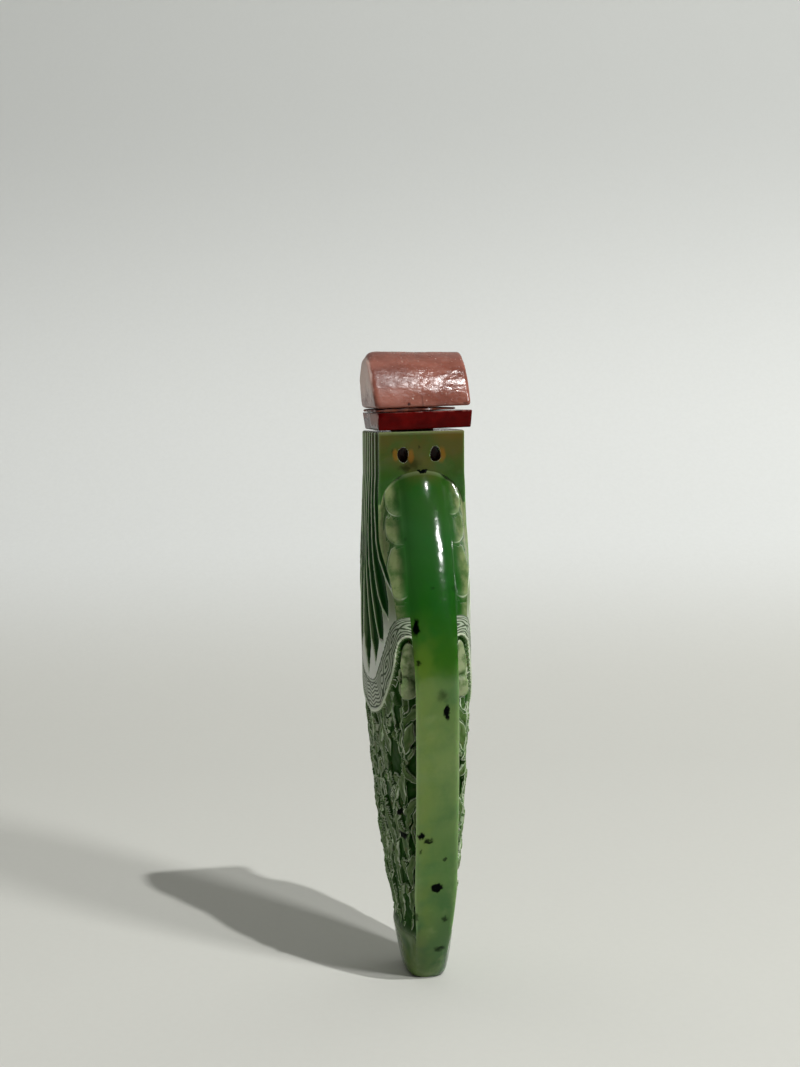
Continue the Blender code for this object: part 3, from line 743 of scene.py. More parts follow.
def cavity_data():
    """The hollow: a round mouth that widens below the neck."""
    angles = np.arange(48) * 2.0 * math.pi / 48
    rings = []
    for z in (CAVITY_FLOOR, *CAVITY_LEVELS, CAVITY_TOP, NECK_TOP + 1.0):
        floor_round = math.sqrt(1.0 - clamp(1.0 - (z - CAVITY_FLOOR + 0.05) / FLOOR_RADIUS) ** 2)
        shoulder = float(arc((z - CAVITY_SHOULDER) / (CAVITY_TOP - CAVITY_SHOULDER)))
        wide = (float(half_width(z)) - WALL - MOUTH_RADIUS) * shoulder * floor_round
        deep = ((float(half_depth(z)) - WALL - MOUTH_RADIUS) * shoulder + MOUTH_RADIUS) * floor_round
        wide = max(wide + MOUTH_RADIUS, deep)
        squareness = 0.8 + 0.2 * (1.0 - shoulder)
        x = wide * np.sign(np.cos(angles)) * np.abs(np.cos(angles)) ** squareness
        y = deep * np.sign(np.sin(angles)) * np.abs(np.sin(angles)) ** squareness
        y = y - BOW * math.sin(math.pi * z / NECK_TOP)
        rings.append(np.stack([x, y, np.full(48, z)], axis=1))
    return grid_mesh("cavity", np.array(rings).transpose(1, 0, 2), {})


def hole_data(side, row):
    """A blind drilled hole in the neck's narrow side, a little uneven at its mouth."""
    mesh = bmesh.new()
    bmesh.ops.create_cone(mesh, cap_ends=True, segments=28, radius1=0.86 * MM, radius2=1.0 * MM,
                          depth=(HOLE_DEPTH + HOLE_MOUTH) * MM)
    for vert in mesh.verts:
        depth, across, up = vert.co.z - 0.5 * (HOLE_DEPTH - HOLE_MOUTH) * MM, vert.co.x, vert.co.y
        ragged = 1.0 + 0.05 * math.sin(3.0 * math.atan2(up, across) + 2.0 * row + side)
        vert.co = (side * (NECK_HALF_WIDTH * MM + depth),
                   across * 0.5 * HOLE_SIZE[0] * ragged + (0.5 * row * HOLE_SPACING + HOLE_SHIFT) * MM,
                   up * 0.5 * HOLE_SIZE[1] * ragged + HOLE_HEIGHT * MM)
    if side < 0:
        bmesh.ops.reverse_faces(mesh, faces=mesh.faces)
    return mesh_data("hole", mesh)


def mesh_data(name, mesh):
    """Mesh data made from a bmesh, which is freed."""
    data = bpy.data.meshes.new(name)
    mesh.to_mesh(data)
    mesh.free()
    return data


def add(name, data):
    """A new object in the scene."""
    made = bpy.data.objects.new(name, data)
    bpy.context.scene.collection.objects.link(made)
    return made


def cut_by(target, cutters):
    """Cut the closed bodies out of the target, apply, and drop them."""
    box = bpy.data.collections.new("cutters")
    bpy.context.scene.collection.children.link(box)
    for cutter in cutters:
        bpy.context.scene.collection.objects.unlink(cutter)
        box.objects.link(cutter)
    boolean = target.modifiers.new("cut", "BOOLEAN")
    boolean.operation = "DIFFERENCE"
    boolean.operand_type = "COLLECTION"
    boolean.collection = box
    evaluated = target.evaluated_get(bpy.context.evaluated_depsgraph_get())
    data = bpy.data.meshes.new_from_object(evaluated, preserve_all_data_layers=True,
                                           depsgraph=bpy.context.evaluated_depsgraph_get())
    target.modifiers.clear()
    target.data = data
    for cutter in cutters:
        bpy.data.objects.remove(cutter)
    bpy.data.collections.remove(box)


class Nodes:
    """Short way to write a shader's node tree."""

    def __init__(self, name):
        self.material = bpy.data.materials.new(name)
        self.material.use_nodes = True
        self.tree = self.material.node_tree
        self.shader = self.tree.nodes["Principled BSDF"]
        self.object = self.tree.nodes.new("ShaderNodeTexCoord").outputs["Object"]

    def new(self, kind, **settings):
        made = self.tree.nodes.new(kind)
        for key, value in settings.items():
            setattr(made, key, value)
        return made

    def link(self, value, socket):
        if isinstance(value, bpy.types.NodeSocket):
            self.tree.links.new(value, socket)
        else:
            socket.default_value = value

    def attribute(self, name):
        return self.new("ShaderNodeAttribute", attribute_name=name).outputs["Fac"]

    def math(self, operation, a, b=0.0, c=0.0):
        node = self.new("ShaderNodeMath", operation=operation)
        for value, socket in zip((a, b, c), node.inputs):
            self.link(value, socket)
        return node.outputs[0]

    def times(self, a, b):
        return self.math("MULTIPLY", a, b)

    def most(self, first, *others):
        for other in others:
            first = self.math("MAXIMUM", first, other)
        return first

    def apart(self, a, b):
        """How far one value is from another."""
        return self.math("ABSOLUTE", self.math("SUBTRACT", a, b))

    def span(self, value, low, high, out_low=0.0, out_high=1.0):
        node = self.new("ShaderNodeMapRange", interpolation_type="SMOOTHSTEP")
        for given, socket in zip((value, low, high, out_low, out_high), node.inputs):
            self.link(given, socket)
        return node.outputs[0]

    def mix(self, factor, a, b):
        node = self.new("ShaderNodeMix", data_type="RGBA")
        self.link(factor, node.inputs[0])
        for value, socket in ((a, node.inputs[6]), (b, node.inputs[7])):
            self.link((*value, 1.0) if isinstance(value, tuple) and len(value) == 3 else value, socket)
        return node.outputs[2]

    def vector(self, operation, a, *others):
        node = self.new("ShaderNodeVectorMath", operation=operation)
        for value, socket in zip((a, *others), node.inputs):
            self.link(value, socket)
        return node.outputs

    def noise(self, scale, detail=3.0, roughness=0.55, distortion=0.0, stretch=None):
        where = self.vector("MULTIPLY", self.object, stretch)[0] if stretch else self.object
        node = self.new("ShaderNodeTexNoise")
        self.link(where, node.inputs["Vector"])
        node.inputs["Scale"].default_value = scale / MM
        node.inputs["Detail"].default_value = detail
        node.inputs["Roughness"].default_value = roughness
        node.inputs["Distortion"].default_value = distortion
        return node.outputs["Fac"]

    def axes(self):
        """The object's X, Y and Z, in metres."""
        split = self.new("ShaderNodeSeparateXYZ")
        self.link(self.object, split.inputs[0])
        return tuple(split.outputs)

    def height(self, stops):
        """Colour by height in millimetres."""
        ramp = self.new("ShaderNodeValToRGB")
        wave = self.math("MULTIPLY_ADD", self.noise(0.11, 2.0), 12.0 * MM, self.axes()[2])
        self.link(self.math("MULTIPLY", wave, 1.0 / (90.0 * MM)), ramp.inputs[0])
        elements = ramp.color_ramp.elements
        while len(elements) < len(stops):
            elements.new(0.5)
        for element, (z, colour) in zip(elements, stops):
            element.position = (z + 6.0) / 90.0
            element.color = (*colour, 1.0)
        return ramp.outputs[0]

    def bump(self, height, strength, distance, normal=None):
        node = self.new("ShaderNodeBump")
        node.inputs["Strength"].default_value = strength
        node.inputs["Distance"].default_value = distance * MM
        self.link(height, node.inputs["Height"])
        if normal:
            self.link(normal, node.inputs["Normal"])
        return node.outputs[0]

    def set(self, **values):
        for name, value in values.items():
            self.link(value, self.shader.inputs[name.replace("_", " ")])

    def glow(self, radius, scale):
        """How far light runs under the surface: share of each colour, and millimetres."""
        self.set(Subsurface_Radius=radius, Subsurface_Scale=scale * MM)


def srgb(red, green, blue):
    """Linear colour from 0-255 display values."""
    made = []
    for value in (red, green, blue):
        share = value / 255.0
        made.append(share / 12.92 if share <= 0.04045 else ((share + 0.055) / 1.055) ** 2.4)
    return tuple(made)


# Dark inclusions in the jade: place, half sizes, softness, strength
INCLUSIONS = (
    ((6.4, -0.1, 73.2), (1.2, 0.65, 0.28), 0.2, 1.0),
    ((6.3, -1.3, 74.2), (0.9, 0.9, 0.8), 0.9, 0.6),
    ((14.0, -3.0, 52.6), (0.8, 0.5, 1.2), 0.35, 1.0),
    ((14.6, -2.9, 47.7), (0.8, 0.3, 0.45), 0.4, 0.9),
    ((15.2, 0.3, 43.2), (0.6, 0.75, 0.65), 0.8, 0.6),
    ((15.2, 0.85, 41.0), (0.6, 0.42, 1.15), 0.3, 1.0),
    ((9.8, -4.8, 26.0), (1.2, 1.2, 0.5), 0.3, 1.0),
    ((9.4, -4.6, 22.8), (1.3, 1.3, 0.55), 0.3, 1.0),
    ((12.9, -2.5, 23.4), (0.8, 0.55, 0.45), 0.3, 1.0),
    ((12.8, -1.6, 22.5), (0.8, 0.7, 0.36), 0.4, 0.95),
    ((6.3, -2.3, 73.7), (0.9, 0.9, 0.45), 0.6, 0.7),
    ((12.1, 0.85, 19.6), (0.6, 0.25, 0.3), 0.4, 0.8),
    ((11.0, -0.2, 15.3), (1.0, 0.85, 0.7), 0.22, 1.0),
    ((9.2, -2.9, 10.8), (0.8, 0.3, 0.75), 0.6, 0.7),
    ((9.3, 1.25, 10.2), (0.8, 0.4, 0.5), 0.5, 0.8),
    ((7.4, 0.8, 5.3), (0.8, 0.75, 0.4), 0.6, 0.8),
    ((12.4, -2.7, 21.0), (0.6, 0.15, 0.35), 0.3, 0.7),
    ((13.1, -0.4, 57.6), (0.8, 0.35, 0.25), 0.8, 0.5),
    ((12.9, 3.0, 57.4), (0.8, 0.5, 0.4), 0.7, 0.6),
    ((10.7, -3.8, 64.5), (0.8, 0.35, 0.9), 0.8, 0.6),
    ((6.3, -4.1, 76.0), (0.8, 0.25, 0.35), 0.7, 0.5),
    ((6.3, -0.4, 76.5), (0.8, 0.2, 0.25), 0.7, 0.5),
    ((-14.6, 0.8, 50.0), (0.9, 0.6, 1.3), 0.3, 1.0),
    ((-13.0, -1.2, 26.0), (0.9, 0.8, 0.5), 0.4, 0.9),
    ((-9.8, 0.6, 12.0), (0.9, 0.5, 0.8), 0.3, 1.0),
    ((3.0, -7.0, 56.0), (0.6, 0.9, 1.0), 0.8, 0.5),
    ((-6.0, -6.5, 50.5), (0.7, 0.9, 0.7), 0.4, 0.8),
    ((-4.5, 6.0, 62.0), (0.7, 0.9, 0.9), 0.4, 0.8),
    ((6.5, 5.6, 47.0), (0.9, 0.9, 0.6), 0.5, 0.8),
)


def jade_material():
    """Polished nephrite: green clouds, dark inclusions, pale carving partly frosted and partly painted sheen,
    painted shade in recesses.
    """
    n = Nodes("jade")
    _, y, z = n.axes()
    fluted, leafy, lobed = n.attribute("fluted"), n.attribute("leafy"), n.attribute("lobed")
    rim, share, along = n.attribute("rim"), n.attribute("share"), n.attribute("along")
    hollow, crest_frost_and_highlight = n.attribute("hollow"), n.attribute("crest_frost_and_highlight")
    banded = n.times(n.math("GREATER_THAN", share, 0.0), n.math("LESS_THAN", share, 1.0))
    # Clouds: greener patches all over, a warm one below the dome, pale flecks on the lower half
    # Partly painted light: the ramp's paler band, about 16 to 41 mm, also stands for the floor's reflection
    # and glow through the thin wall
    base = n.height((
        (0.0, srgb(34, 78, 24)), (8.0, srgb(62, 98, 40)), (16.0, srgb(74, 110, 46)),
        (24.0, srgb(78, 110, 48)), (33.0, srgb(98, 122, 62)), (41.0, srgb(76, 106, 40)),
        (48.0, srgb(42, 88, 14)), (56.0, srgb(22, 80, 10)), (64.0, srgb(38, 86, 34)),
        (71.0, srgb(38, 78, 18)), (76.0, srgb(74, 72, 26))))
    base = n.mix(n.span(n.noise(0.20, 4.0, 0.6), 0.45, 0.75, 0.0, 0.5), base, srgb(22, 84, 28))
    warm = n.times(n.span(y, 1.5 * MM, -2.5 * MM), n.times(
        n.span(z, 56.0 * MM, 46.0 * MM), n.span(n.noise(0.25, 2.0), 0.3, 0.6)))
    base = n.mix(n.times(warm, 0.45), base, srgb(104, 122, 40))
    flecks = n.times(n.span(n.noise(0.33, 3.0), 0.5, 0.8, 0.0, 0.4), n.span(z, 46.0 * MM, 38.0 * MM))
    base = n.mix(flecks, base, srgb(118, 136, 78))
    # Lobes beside the dome: pale yellowish flesh
    flesh = n.times(n.span(rim, -0.4, 0.4, 0.25, 1.0), lobed)
    flesh = n.times(flesh, n.span(n.math("ABSOLUTE", y), 3.3 * MM, 4.7 * MM, 0.1, 1.0))
    flesh = n.times(flesh, n.span(n.noise(0.45, 4.0, 0.6), 0.35, 0.65, 0.2, 0.8))
    base = n.mix(flesh, base, srgb(136, 146, 100))
    # Flutes: painted shade, deep green, inside them; white points between their lower ends, partly frost and
    # partly painted reflection
    deep = n.times(n.span(rim, 0.02, 0.4), fluted)
    deep = n.times(deep, n.span(z, 76.0 * MM, 66.0 * MM, 0.45, 0.92))
    base = n.mix(deep, base, srgb(14, 58, 14))
    frosted_sheen = n.times(n.span(rim, -0.02, -0.10), fluted)
    frosted_sheen_tone = n.mix(n.span(z, 49.5 * MM, 56.0 * MM), srgb(226, 230, 220), srgb(128, 140, 104))
    base = n.mix(n.times(frosted_sheen, 0.85), base, frosted_sheen_tone)
    # Leaves: pale tops, partly frost and partly painted sheen; painted shade, deep green, on the ground
    # between them; brown patches
    base = n.mix(n.times(leafy, 0.8), base, srgb(40, 74, 20))
    base = n.mix(n.times(leafy, n.span(hollow, 0.6, 0.1, 0.05, 0.32)), base, srgb(92, 120, 56))
    # Painted shade: deep green where the ground sinks below the leaves
    shaded_ground = n.times(n.span(rim, 0.05, -0.10), leafy)
    base = n.mix(n.times(shaded_ground, 0.85), base, srgb(20, 62, 10))
    base = n.mix(n.times(leafy, n.span(n.noise(0.7, 3.0), 0.6, 0.72, 0.0, 0.5)), base, srgb(88, 76, 34))
    # Swag: frets of nested lozenges, cut as fine dark lines in a pale ground between plain borders
    pace = n.apart(n.math("FRACT", n.math("MULTIPLY_ADD", along, 1.0 / FRET_PITCH, 0.5)), 0.5)
    side = n.apart(share, FRET_MIDDLE)
    lozenge = n.math("ADD", n.times(pace, 0.34 * FRET_PITCH), n.times(side, 4.4))
    square = n.most(n.times(pace, 0.5 * FRET_PITCH), n.times(side, 4.8))
    nested = n.math("ADD", n.times(lozenge, 0.6), n.times(square, 0.4))
    lines = n.math("MULTIPLY_ADD", pace, 0.9, n.times(share, 4.6))
    middle = n.span(along, *FRET_START)
    nested = n.math("ADD", n.times(nested, middle), n.times(lines, n.math("SUBTRACT", 1.0, middle)))
    rings = n.math("FRACT", n.times(nested, 1.0 / FRET_RING))
    fret = n.span(n.apart(rings, 0.5), 0.16, 0.30, 1.0, 0.0)
    zone = n.times(n.span(share, 0.15, 0.16), n.span(share, 0.865, 0.875, 1.0, 0.0))
    borders = [n.span(n.apart(share, place), thin, wide, 1.0, 0.0) for place, thin, wide in SWAG_BORDERS]
    cuts = n.times(n.most(n.times(fret, zone), *borders), banded)
    base = n.mix(n.times(banded, n.span(share, 0.25, 0.05, 0.6, 0.85)), base, srgb(200, 208, 188))
    base = n.mix(n.times(cuts, 0.85), base, srgb(30, 50, 22))
    # Painted highlights: bright thin lines along every arris and rim
    from_edge = n.apart(rim, 0.03)
    line = n.most(n.span(from_edge, 0.035, 0.10, 1.0, 0.0),
                  n.times(fluted, n.span(from_edge, 0.05, 0.13, 1.0, 0.0)))
    line = n.times(line, n.most(
        n.times(fluted, 0.9), n.times(leafy, n.span(n.noise(0.6, 3.0), 0.35, 0.65, 0.25, 0.85)),
        n.times(lobed, n.span(n.noise(0.5, 2.0), 0.4, 0.6, 0.1, 0.5))))
    base = n.mix(line, base, srgb(214, 224, 200))
    # Paler raised crests: partly frost, partly painted highlight
    base = n.mix(n.times(crest_frost_and_highlight, n.math("MULTIPLY_ADD", leafy, -0.12, 0.26)), base, srgb(176, 190, 150))
    mottle = n.span(n.noise(0.55, 4.0, 0.6), 0.38, 0.6, 0.1, 0.75)
    base = n.mix(n.times(n.attribute("pale"), mottle), base, srgb(150, 160, 122))
    # Inclusions, stains round the drilled holes, and dark red-brown inside them
    spotted = spots(n, INCLUSIONS, 0.6)
    base = n.mix(spotted, base, srgb(0, 3, 2))
    base = n.mix(n.times(spots(n, STAINS, 0.2), 0.55), base, srgb(138, 84, 10))
    base = n.mix(spots(n, HOLE_INSIDES, 0.0), base, srgb(44, 8, 4))
    # Polish: glossy where plain, duller and less clear where it is carved
    carved = n.most(leafy, banded, n.times(fluted, 0.5))
    dull = n.most(spotted, n.times(deep, 1.05), shaded_ground, cuts, n.times(leafy, 0.6))
    waves = n.bump(n.noise(2.2, 4.0, 0.6), 0.25, 0.03, n.bump(n.noise(0.35, 2.0), 0.3, 0.25))
    relief = n.math("SUBTRACT", n.times(line, 0.6), n.times(cuts, 0.8))
    n.set(Base_Color=base, IOR=1.61, Normal=n.bump(relief, 0.7, 0.08, waves),
          Roughness=n.most(n.span(carved, 0.0, 1.0, 0.13, 0.38), n.times(frosted_sheen, 0.5)),
          Specular_IOR_Level=n.span(dull, 0.0, 1.0, 0.3, 0.02),
          Subsurface_Weight=n.times(n.span(carved, 0.0, 1.0, 0.75, 0.30), n.math("SUBTRACT", 1.0, spotted)))
    n.glow((0.5, 1.0, 0.35), 1.2)
    n.shader.subsurface_method = "RANDOM_WALK"
    return n.material


def spots(n, places, raggedness):
    """How far a point lies within any of the given soft ellipsoids."""
    warp = n.new("ShaderNodeTexNoise")
    n.link(n.object, warp.inputs["Vector"])
    warp.inputs["Scale"].default_value = 1.3 / MM
    warp.inputs["Detail"].default_value = 3.0
    shifted = n.vector("MULTIPLY_ADD", warp.outputs["Color"], (2.0 * raggedness * MM,) * 3, n.object)[0]
    dark = 0.0
    for place, sizes, softness, strength in places:
        away = n.vector("SUBTRACT", shifted, tuple((value + raggedness) * MM for value in place))[0]
        shaped = n.vector("DIVIDE", away, tuple(value * MM for value in sizes))[0]
        length = n.vector("LENGTH", shaped)["Value"]
        dark = n.most(n.span(length, 1.0 - softness, 1.0 + softness, strength, 0.0), dark)
    return dark


def dress(piece, finish, sharp_angle):
    """Give a piece its material, and smooth shading up to an angle in degrees."""
    piece.data.materials.clear()
    piece.data.materials.append(finish)
    piece.data.shade_smooth()
    piece.data.set_sharp_from_angle(angle=math.radians(sharp_angle))


def build_body(finish):
    """The jade body with its cavity and its four drilled holes."""
    body = add("jade_body", body_data())
    holes = [add("hole", hole_data(side, row)) for side in (-1, 1) for row in (-1, 1)]
    cut_by(body, [add("cavity", cavity_data())] + holes)
    dress(body, finish, 40.0)
    return body


def tipped(points):
    """Tip points of the stopper's head about the middle of the mouth."""
    turn = math.radians(STOPPER_TILT)
    y, z = points[..., 1].copy(), points[..., 2] - NECK_TOP
    made = points.copy()
    made[..., 1] = y * math.cos(turn) - z * math.sin(turn)
    made[..., 2] = y * math.sin(turn) + z * math.cos(turn) + NECK_TOP
    return made


def grain(points, size, seed):
    """Seeded noise at each point, about -1 to 1, with features of the given size in millimetres."""
    offset = Vector((seed * 17.3, seed * 5.1, seed * 9.7))
    flat = points.reshape(-1, 3)
    made = [noise.fractal(Vector(point) / size + offset, 0.8, 2.2, 3) for point in flat.tolist()]
    return np.array(made).reshape(points.shape[:-1])


def marked(points, sink, marks):
    """Depth to sink each point, with a round dent added at each mark."""
    for place, radius, depth in marks:
        away = np.linalg.norm(points - np.array(place), axis=-1) / radius
        sink = sink + depth * (1.0 - smooth(away))
    return sink


def loft_data(name, rings):
    """A closed body from rings of points, with a fan at each end."""
    mesh = bmesh.new()
    rows = [[mesh.verts.new(point * MM) for point in ring] for ring in rings]
    for low, high in zip(rows, rows[1:]):
        for index in range(len(low)):
            after = (index + 1) % len(low)
            mesh.faces.new((low[index], low[after], high[after], high[index]))
    for row, ring, flip in ((rows[0], rings[0], True), (rows[-1], rings[-1], False)):
        middle = mesh.verts.new(ring.mean(axis=0) * MM)
        for index in range(len(row)):
            a, b = row[index], row[(index + 1) % len(row)]
            mesh.faces.new((b, a, middle) if flip else (a, b, middle))
    bmesh.ops.recalc_face_normals(mesh, faces=mesh.faces)
    return mesh_data(name, mesh)


def stone_profile():
    """Outline across the stone, from its low +X corner over the ridge, and its bottom: sides lean in."""
    half, corner, low = STONE_HALF[0] - 0.05, STONE_BEVEL, STONE_LOW
    points = []
    for step in range(5):
        angle = math.radians(22.5 * step)
        points.append((half - corner + corner * math.sin(angle), low + corner - corner * math.cos(angle)))
    for angle in np.radians(np.linspace(7.0, 173.0, 61)):
        across = abs(math.cos(angle)) ** (2.0 / STONE_LEANNESS)
        up = math.sin(angle) ** (2.0 / STONE_LEANNESS)
        points.append((math.copysign(across, math.cos(angle)) * STONE_HALF[0], low + (STONE_TOP - low) * up))
    left = [(-x, z) for x, z in reversed(points[:5])]
    bottom = [(x, low) for x in np.linspace(-half + corner + 0.6, half - corner - 0.6, 12)]
    return np.array(points + left + bottom)


def rounded_end(end, radius, insets):
    """Stations (place, inset) from an end's middle to the full section, a radius (signed) farther in."""
    made = [(end, inset) for inset in insets]
    for step in range(7):
        angle = math.radians(15.0 * step)
        made.append((end + radius * (1.0 - math.cos(angle)), abs(radius) * (1.0 - math.sin(angle))))
    return made


def stone_data():
    """The arched stone, its worn ends rounded over, with shallow pits and chips."""
    ends = STONE_HALF[1]
    stations = rounded_end(-ends + 0.03, 0.75, (5.4, 4.6, 3.7, 2.8, 2.0, 1.3))
    stations += [(y, 0.0) for y in np.linspace(-ends + 1.0, ends - 0.7, 58)]
    stations += rounded_end(ends, -0.5, (5.4, 4.6, 3.6, 2.7, 1.8, 1.0))[::-1]
    outline = stone_profile()
    middle = np.array([0.0, STONE_LOW + 3.0])
    rings = []
    for y, inset in stations:
        profile = middle + (outline - middle) * (1.0 - inset / STONE_HALF[0])
        rings.append(np.column_stack([profile[:, 0], np.full(len(profile), y), profile[:, 1]]))
    points = np.array(rings)
    rise = clamp((points[..., 2] - STONE_LOW) / (STONE_TOP - STONE_LOW))
    pushed = np.where(points[..., 1] < 0.0, 1.0 - np.minimum((points[..., 2] - STONE_LOW) / 4.0, 1.0), 0.0)
    worn = clamp((-points[..., 1] - ends + 1.6) / 1.6) * smooth((rise - 0.72) / 0.28)
    points[..., 1] += STONE_LEAN * pushed
    points[..., 2] -= STONE_FALL * points[..., 1] * rise
    centre = np.array([0.0, STONE_SHIFT, STONE_LOW + 2.6])
    points[..., 1] += STONE_SHIFT
    inward = centre - points
    inward[..., 1] *= 0.3
    inward /= np.linalg.norm(inward, axis=-1)[..., None]
    sink = 0.05 + 0.045 * grain(points * np.array([1.0, 0.6, 1.0]), 2.2, 1) + 0.02 * grain(points, 0.7, 2)
    sink = sink + 0.55 * worn ** 1.5
    sink = marked(points, sink, STONE_PITS)
    points = points + inward * clamp(sink, 0.0, 2.0)[..., None]
    return loft_data("pink_stone", tipped(points))


def slab_rings(half_x, half_y, shift, levels, steps, corner):
    """Rounded-rectangle rings: levels are (height, inset)."""
    rings = []
    for height, inset in levels:
        hx, hy = half_x - inset - corner, half_y - inset - corner
        corners = []
        for turn, (sx, sy) in enumerate(((1, 1), (-1, 1), (-1, -1), (1, -1))):
            angles = np.radians(90.0 * turn + 30.0 * np.arange(4))
            corners.append(np.column_stack([sx * hx + corner * np.cos(angles),
                                            shift + sy * hy + corner * np.sin(angles), np.full(4, height)]))
        ring = []
        for here, after in zip(corners, corners[1:] + corners[:1]):
            ring += list(here) + [here[-1] + (after[0] - here[-1]) * step / steps for step in range(1, steps)]
        rings.append(ring)
    return np.array(rings)


def to_axis(points, shift=0.0):
    """Level unit directions from each point toward an upright axis."""
    toward = np.stack([-points[..., 0], shift - points[..., 1], np.zeros_like(points[..., 0])], axis=-1)
    return toward / (np.linalg.norm(toward, axis=-1)[..., None] + 1e-9)


def collar_data():
    """A red slab, drawn in toward its bottom, its edges a little worn."""
    low, top = NECK_TOP + GAP, NECK_TOP + GAP + COLLAR_HEIGHT
    levels = [(low, 3.0), (low, 1.6), (low, 0.7), (low, COLLAR_TAPER + 0.12),
              (low + 0.035, COLLAR_TAPER + 0.035), (low + 0.12, COLLAR_TAPER)]
    levels += [(low + COLLAR_HEIGHT * share, COLLAR_TAPER * (1.0 - share))
               for share in np.linspace(0.1, 0.93, 12)]
    levels += [(top - 0.12, 0.0), (top - 0.035, 0.035), (top, 0.12), (top, 0.5), (top, 1.4), (top, 3.0)]
    points = slab_rings(*COLLAR_HALF, COLLAR_SHIFT, levels, 26, 0.16)
    edge = ridge(points[..., 2] - top, 0.25) + ridge(points[..., 2] - low, 0.25)
    sink = clamp(0.03 + 0.05 * grain(points, 1.6, 3), 0.0, 1.0) * (0.25 + edge)
    end = smooth((-points[..., 1] + COLLAR_SHIFT - COLLAR_HALF[1] + 1.0) / 0.8)
    sink = sink + 0.16 * end * smooth((-points[..., 0] + 0.2) / 0.5)
    points = points + to_axis(points, COLLAR_SHIFT) * marked(points, sink, COLLAR_CHIPS)[..., None]
    return loft_data("red_collar", tipped(points))


def cement_data():
    """An uneven bead of old cement between the stone and the collar."""
    low = NECK_TOP + GAP + COLLAR_HEIGHT + CEMENT_GAP
    top = low + CEMENT_HEIGHT
    levels = [(low, 3.0), (low, 1.2), (low, 0.3), (low + 0.05, 0.06), (low + 0.5 * CEMENT_HEIGHT, 0.0),
              (top - 0.05, 0.06), (top, 0.3), (top, 1.2), (top, 3.0)]
    points = slab_rings(STONE_HALF[0] - 0.35, STONE_HALF[1] - 1.2, STONE_SHIFT - 0.7, levels, 30, 0.5)
    wave = grain(points * np.array([1.0, 1.0, 0.0]), 1.3, 4)
    fade = 1.0 - smooth((points[..., 1] - 1.5) / 2.5)
    outward = np.where(points[..., 2] > 0.5 * (low + top), 1.0, -1.0)
    points[..., 2] += outward * clamp(0.08 + 0.09 * wave, 0.0, 0.16) * fade
    points = points + to_axis(points) * clamp(0.12 + 0.3 * wave, 0.0, 0.6)[..., None]
    return loft_data("cement_bead", tipped(points))


def cork_data():
    """A short cork, a little uneven, its ends chamfered."""
    low, top = NECK_TOP - PLUG_DEPTH, NECK_TOP + PLUG_RISE
    levels = [(low, 1.6), (low, 0.9), (low, 0.32), (low + 0.3, 0.02)]
    levels += [(low + (top - low) * share, 0.0) for share in np.linspace(0.08, 0.92, 18)]
    levels += [(top - 0.3, 0.02), (top, 0.32), (top, 0.9), (top, 1.6)]
    angles = np.arange(40) * 2.0 * math.pi / 40
    rings = []
    for height, inset in levels:
        radius = PLUG_RADIUS - PLUG_TAPER * (top - height) / (top - low) - inset
        rings.append([radius * np.cos(angles), radius * np.sin(angles), np.full(40, height)])
    points = np.array(rings).transpose(0, 2, 1)
    points[..., :2] *= (1.0 - 0.02 * np.abs(grain(points, 1.1, 5)))[..., None]
    return loft_data("cork", points)


def stone_material():
    """Pink quartz: cloudy bands, whitish worn end, small pale chips and a glossy wavy polish."""
    n = Nodes("pink_stone")
    bands = n.noise(0.26, 3.0, 0.5, 0.3, stretch=(0.8, 0.6, 1.3))
    base = n.mix(n.span(bands, 0.32, 0.68), srgb(116, 66, 54), srgb(148, 94, 80))
    base = n.mix(n.span(n.noise(0.8, 4.0, 0.65), 0.55, 0.8, 0.0, 0.35), base, srgb(174, 124, 110))
    y = n.axes()[1]
    wave = n.math("MULTIPLY_ADD", n.noise(0.7, 3.0), 0.5 * MM, y)
    end = n.span(wave, -6.45 * MM, -6.05 * MM, 1.0, 0.0)
    base = n.mix(n.times(end, 0.85), base, srgb(236, 208, 198))
    base = n.mix(n.span(n.noise(2.6, 3.0, 0.6), 0.66, 0.74, 0.0, 0.7), base, srgb(226, 206, 196))
    base = n.mix(spots(n, STONE_DARK_MARKS, 0.1), base, srgb(58, 20, 14))
    rough = n.math("ADD", n.span(n.noise(1.4, 3.0), 0.4, 0.75, 0.14, 0.30),
                   n.span(y, -3.5 * MM, 1.5 * MM, 0.14, 0.0))
    waves = n.bump(n.noise(0.45, 2.0, stretch=(1.0, 0.5, 1.4)), 0.4, 0.25)
    n.set(Base_Color=base, Roughness=n.most(rough, n.times(end, 0.5)), IOR=1.54,
          Specular_IOR_Level=0.32, Subsurface_Weight=0.5,
          Normal=n.bump(n.noise(1.5, 4.0, 0.6, 0.3, stretch=(1.0, 0.55, 1.3)), 0.4, 0.14, waves))
    n.glow((1.0, 0.5, 0.4), 1.0)
    return n.material


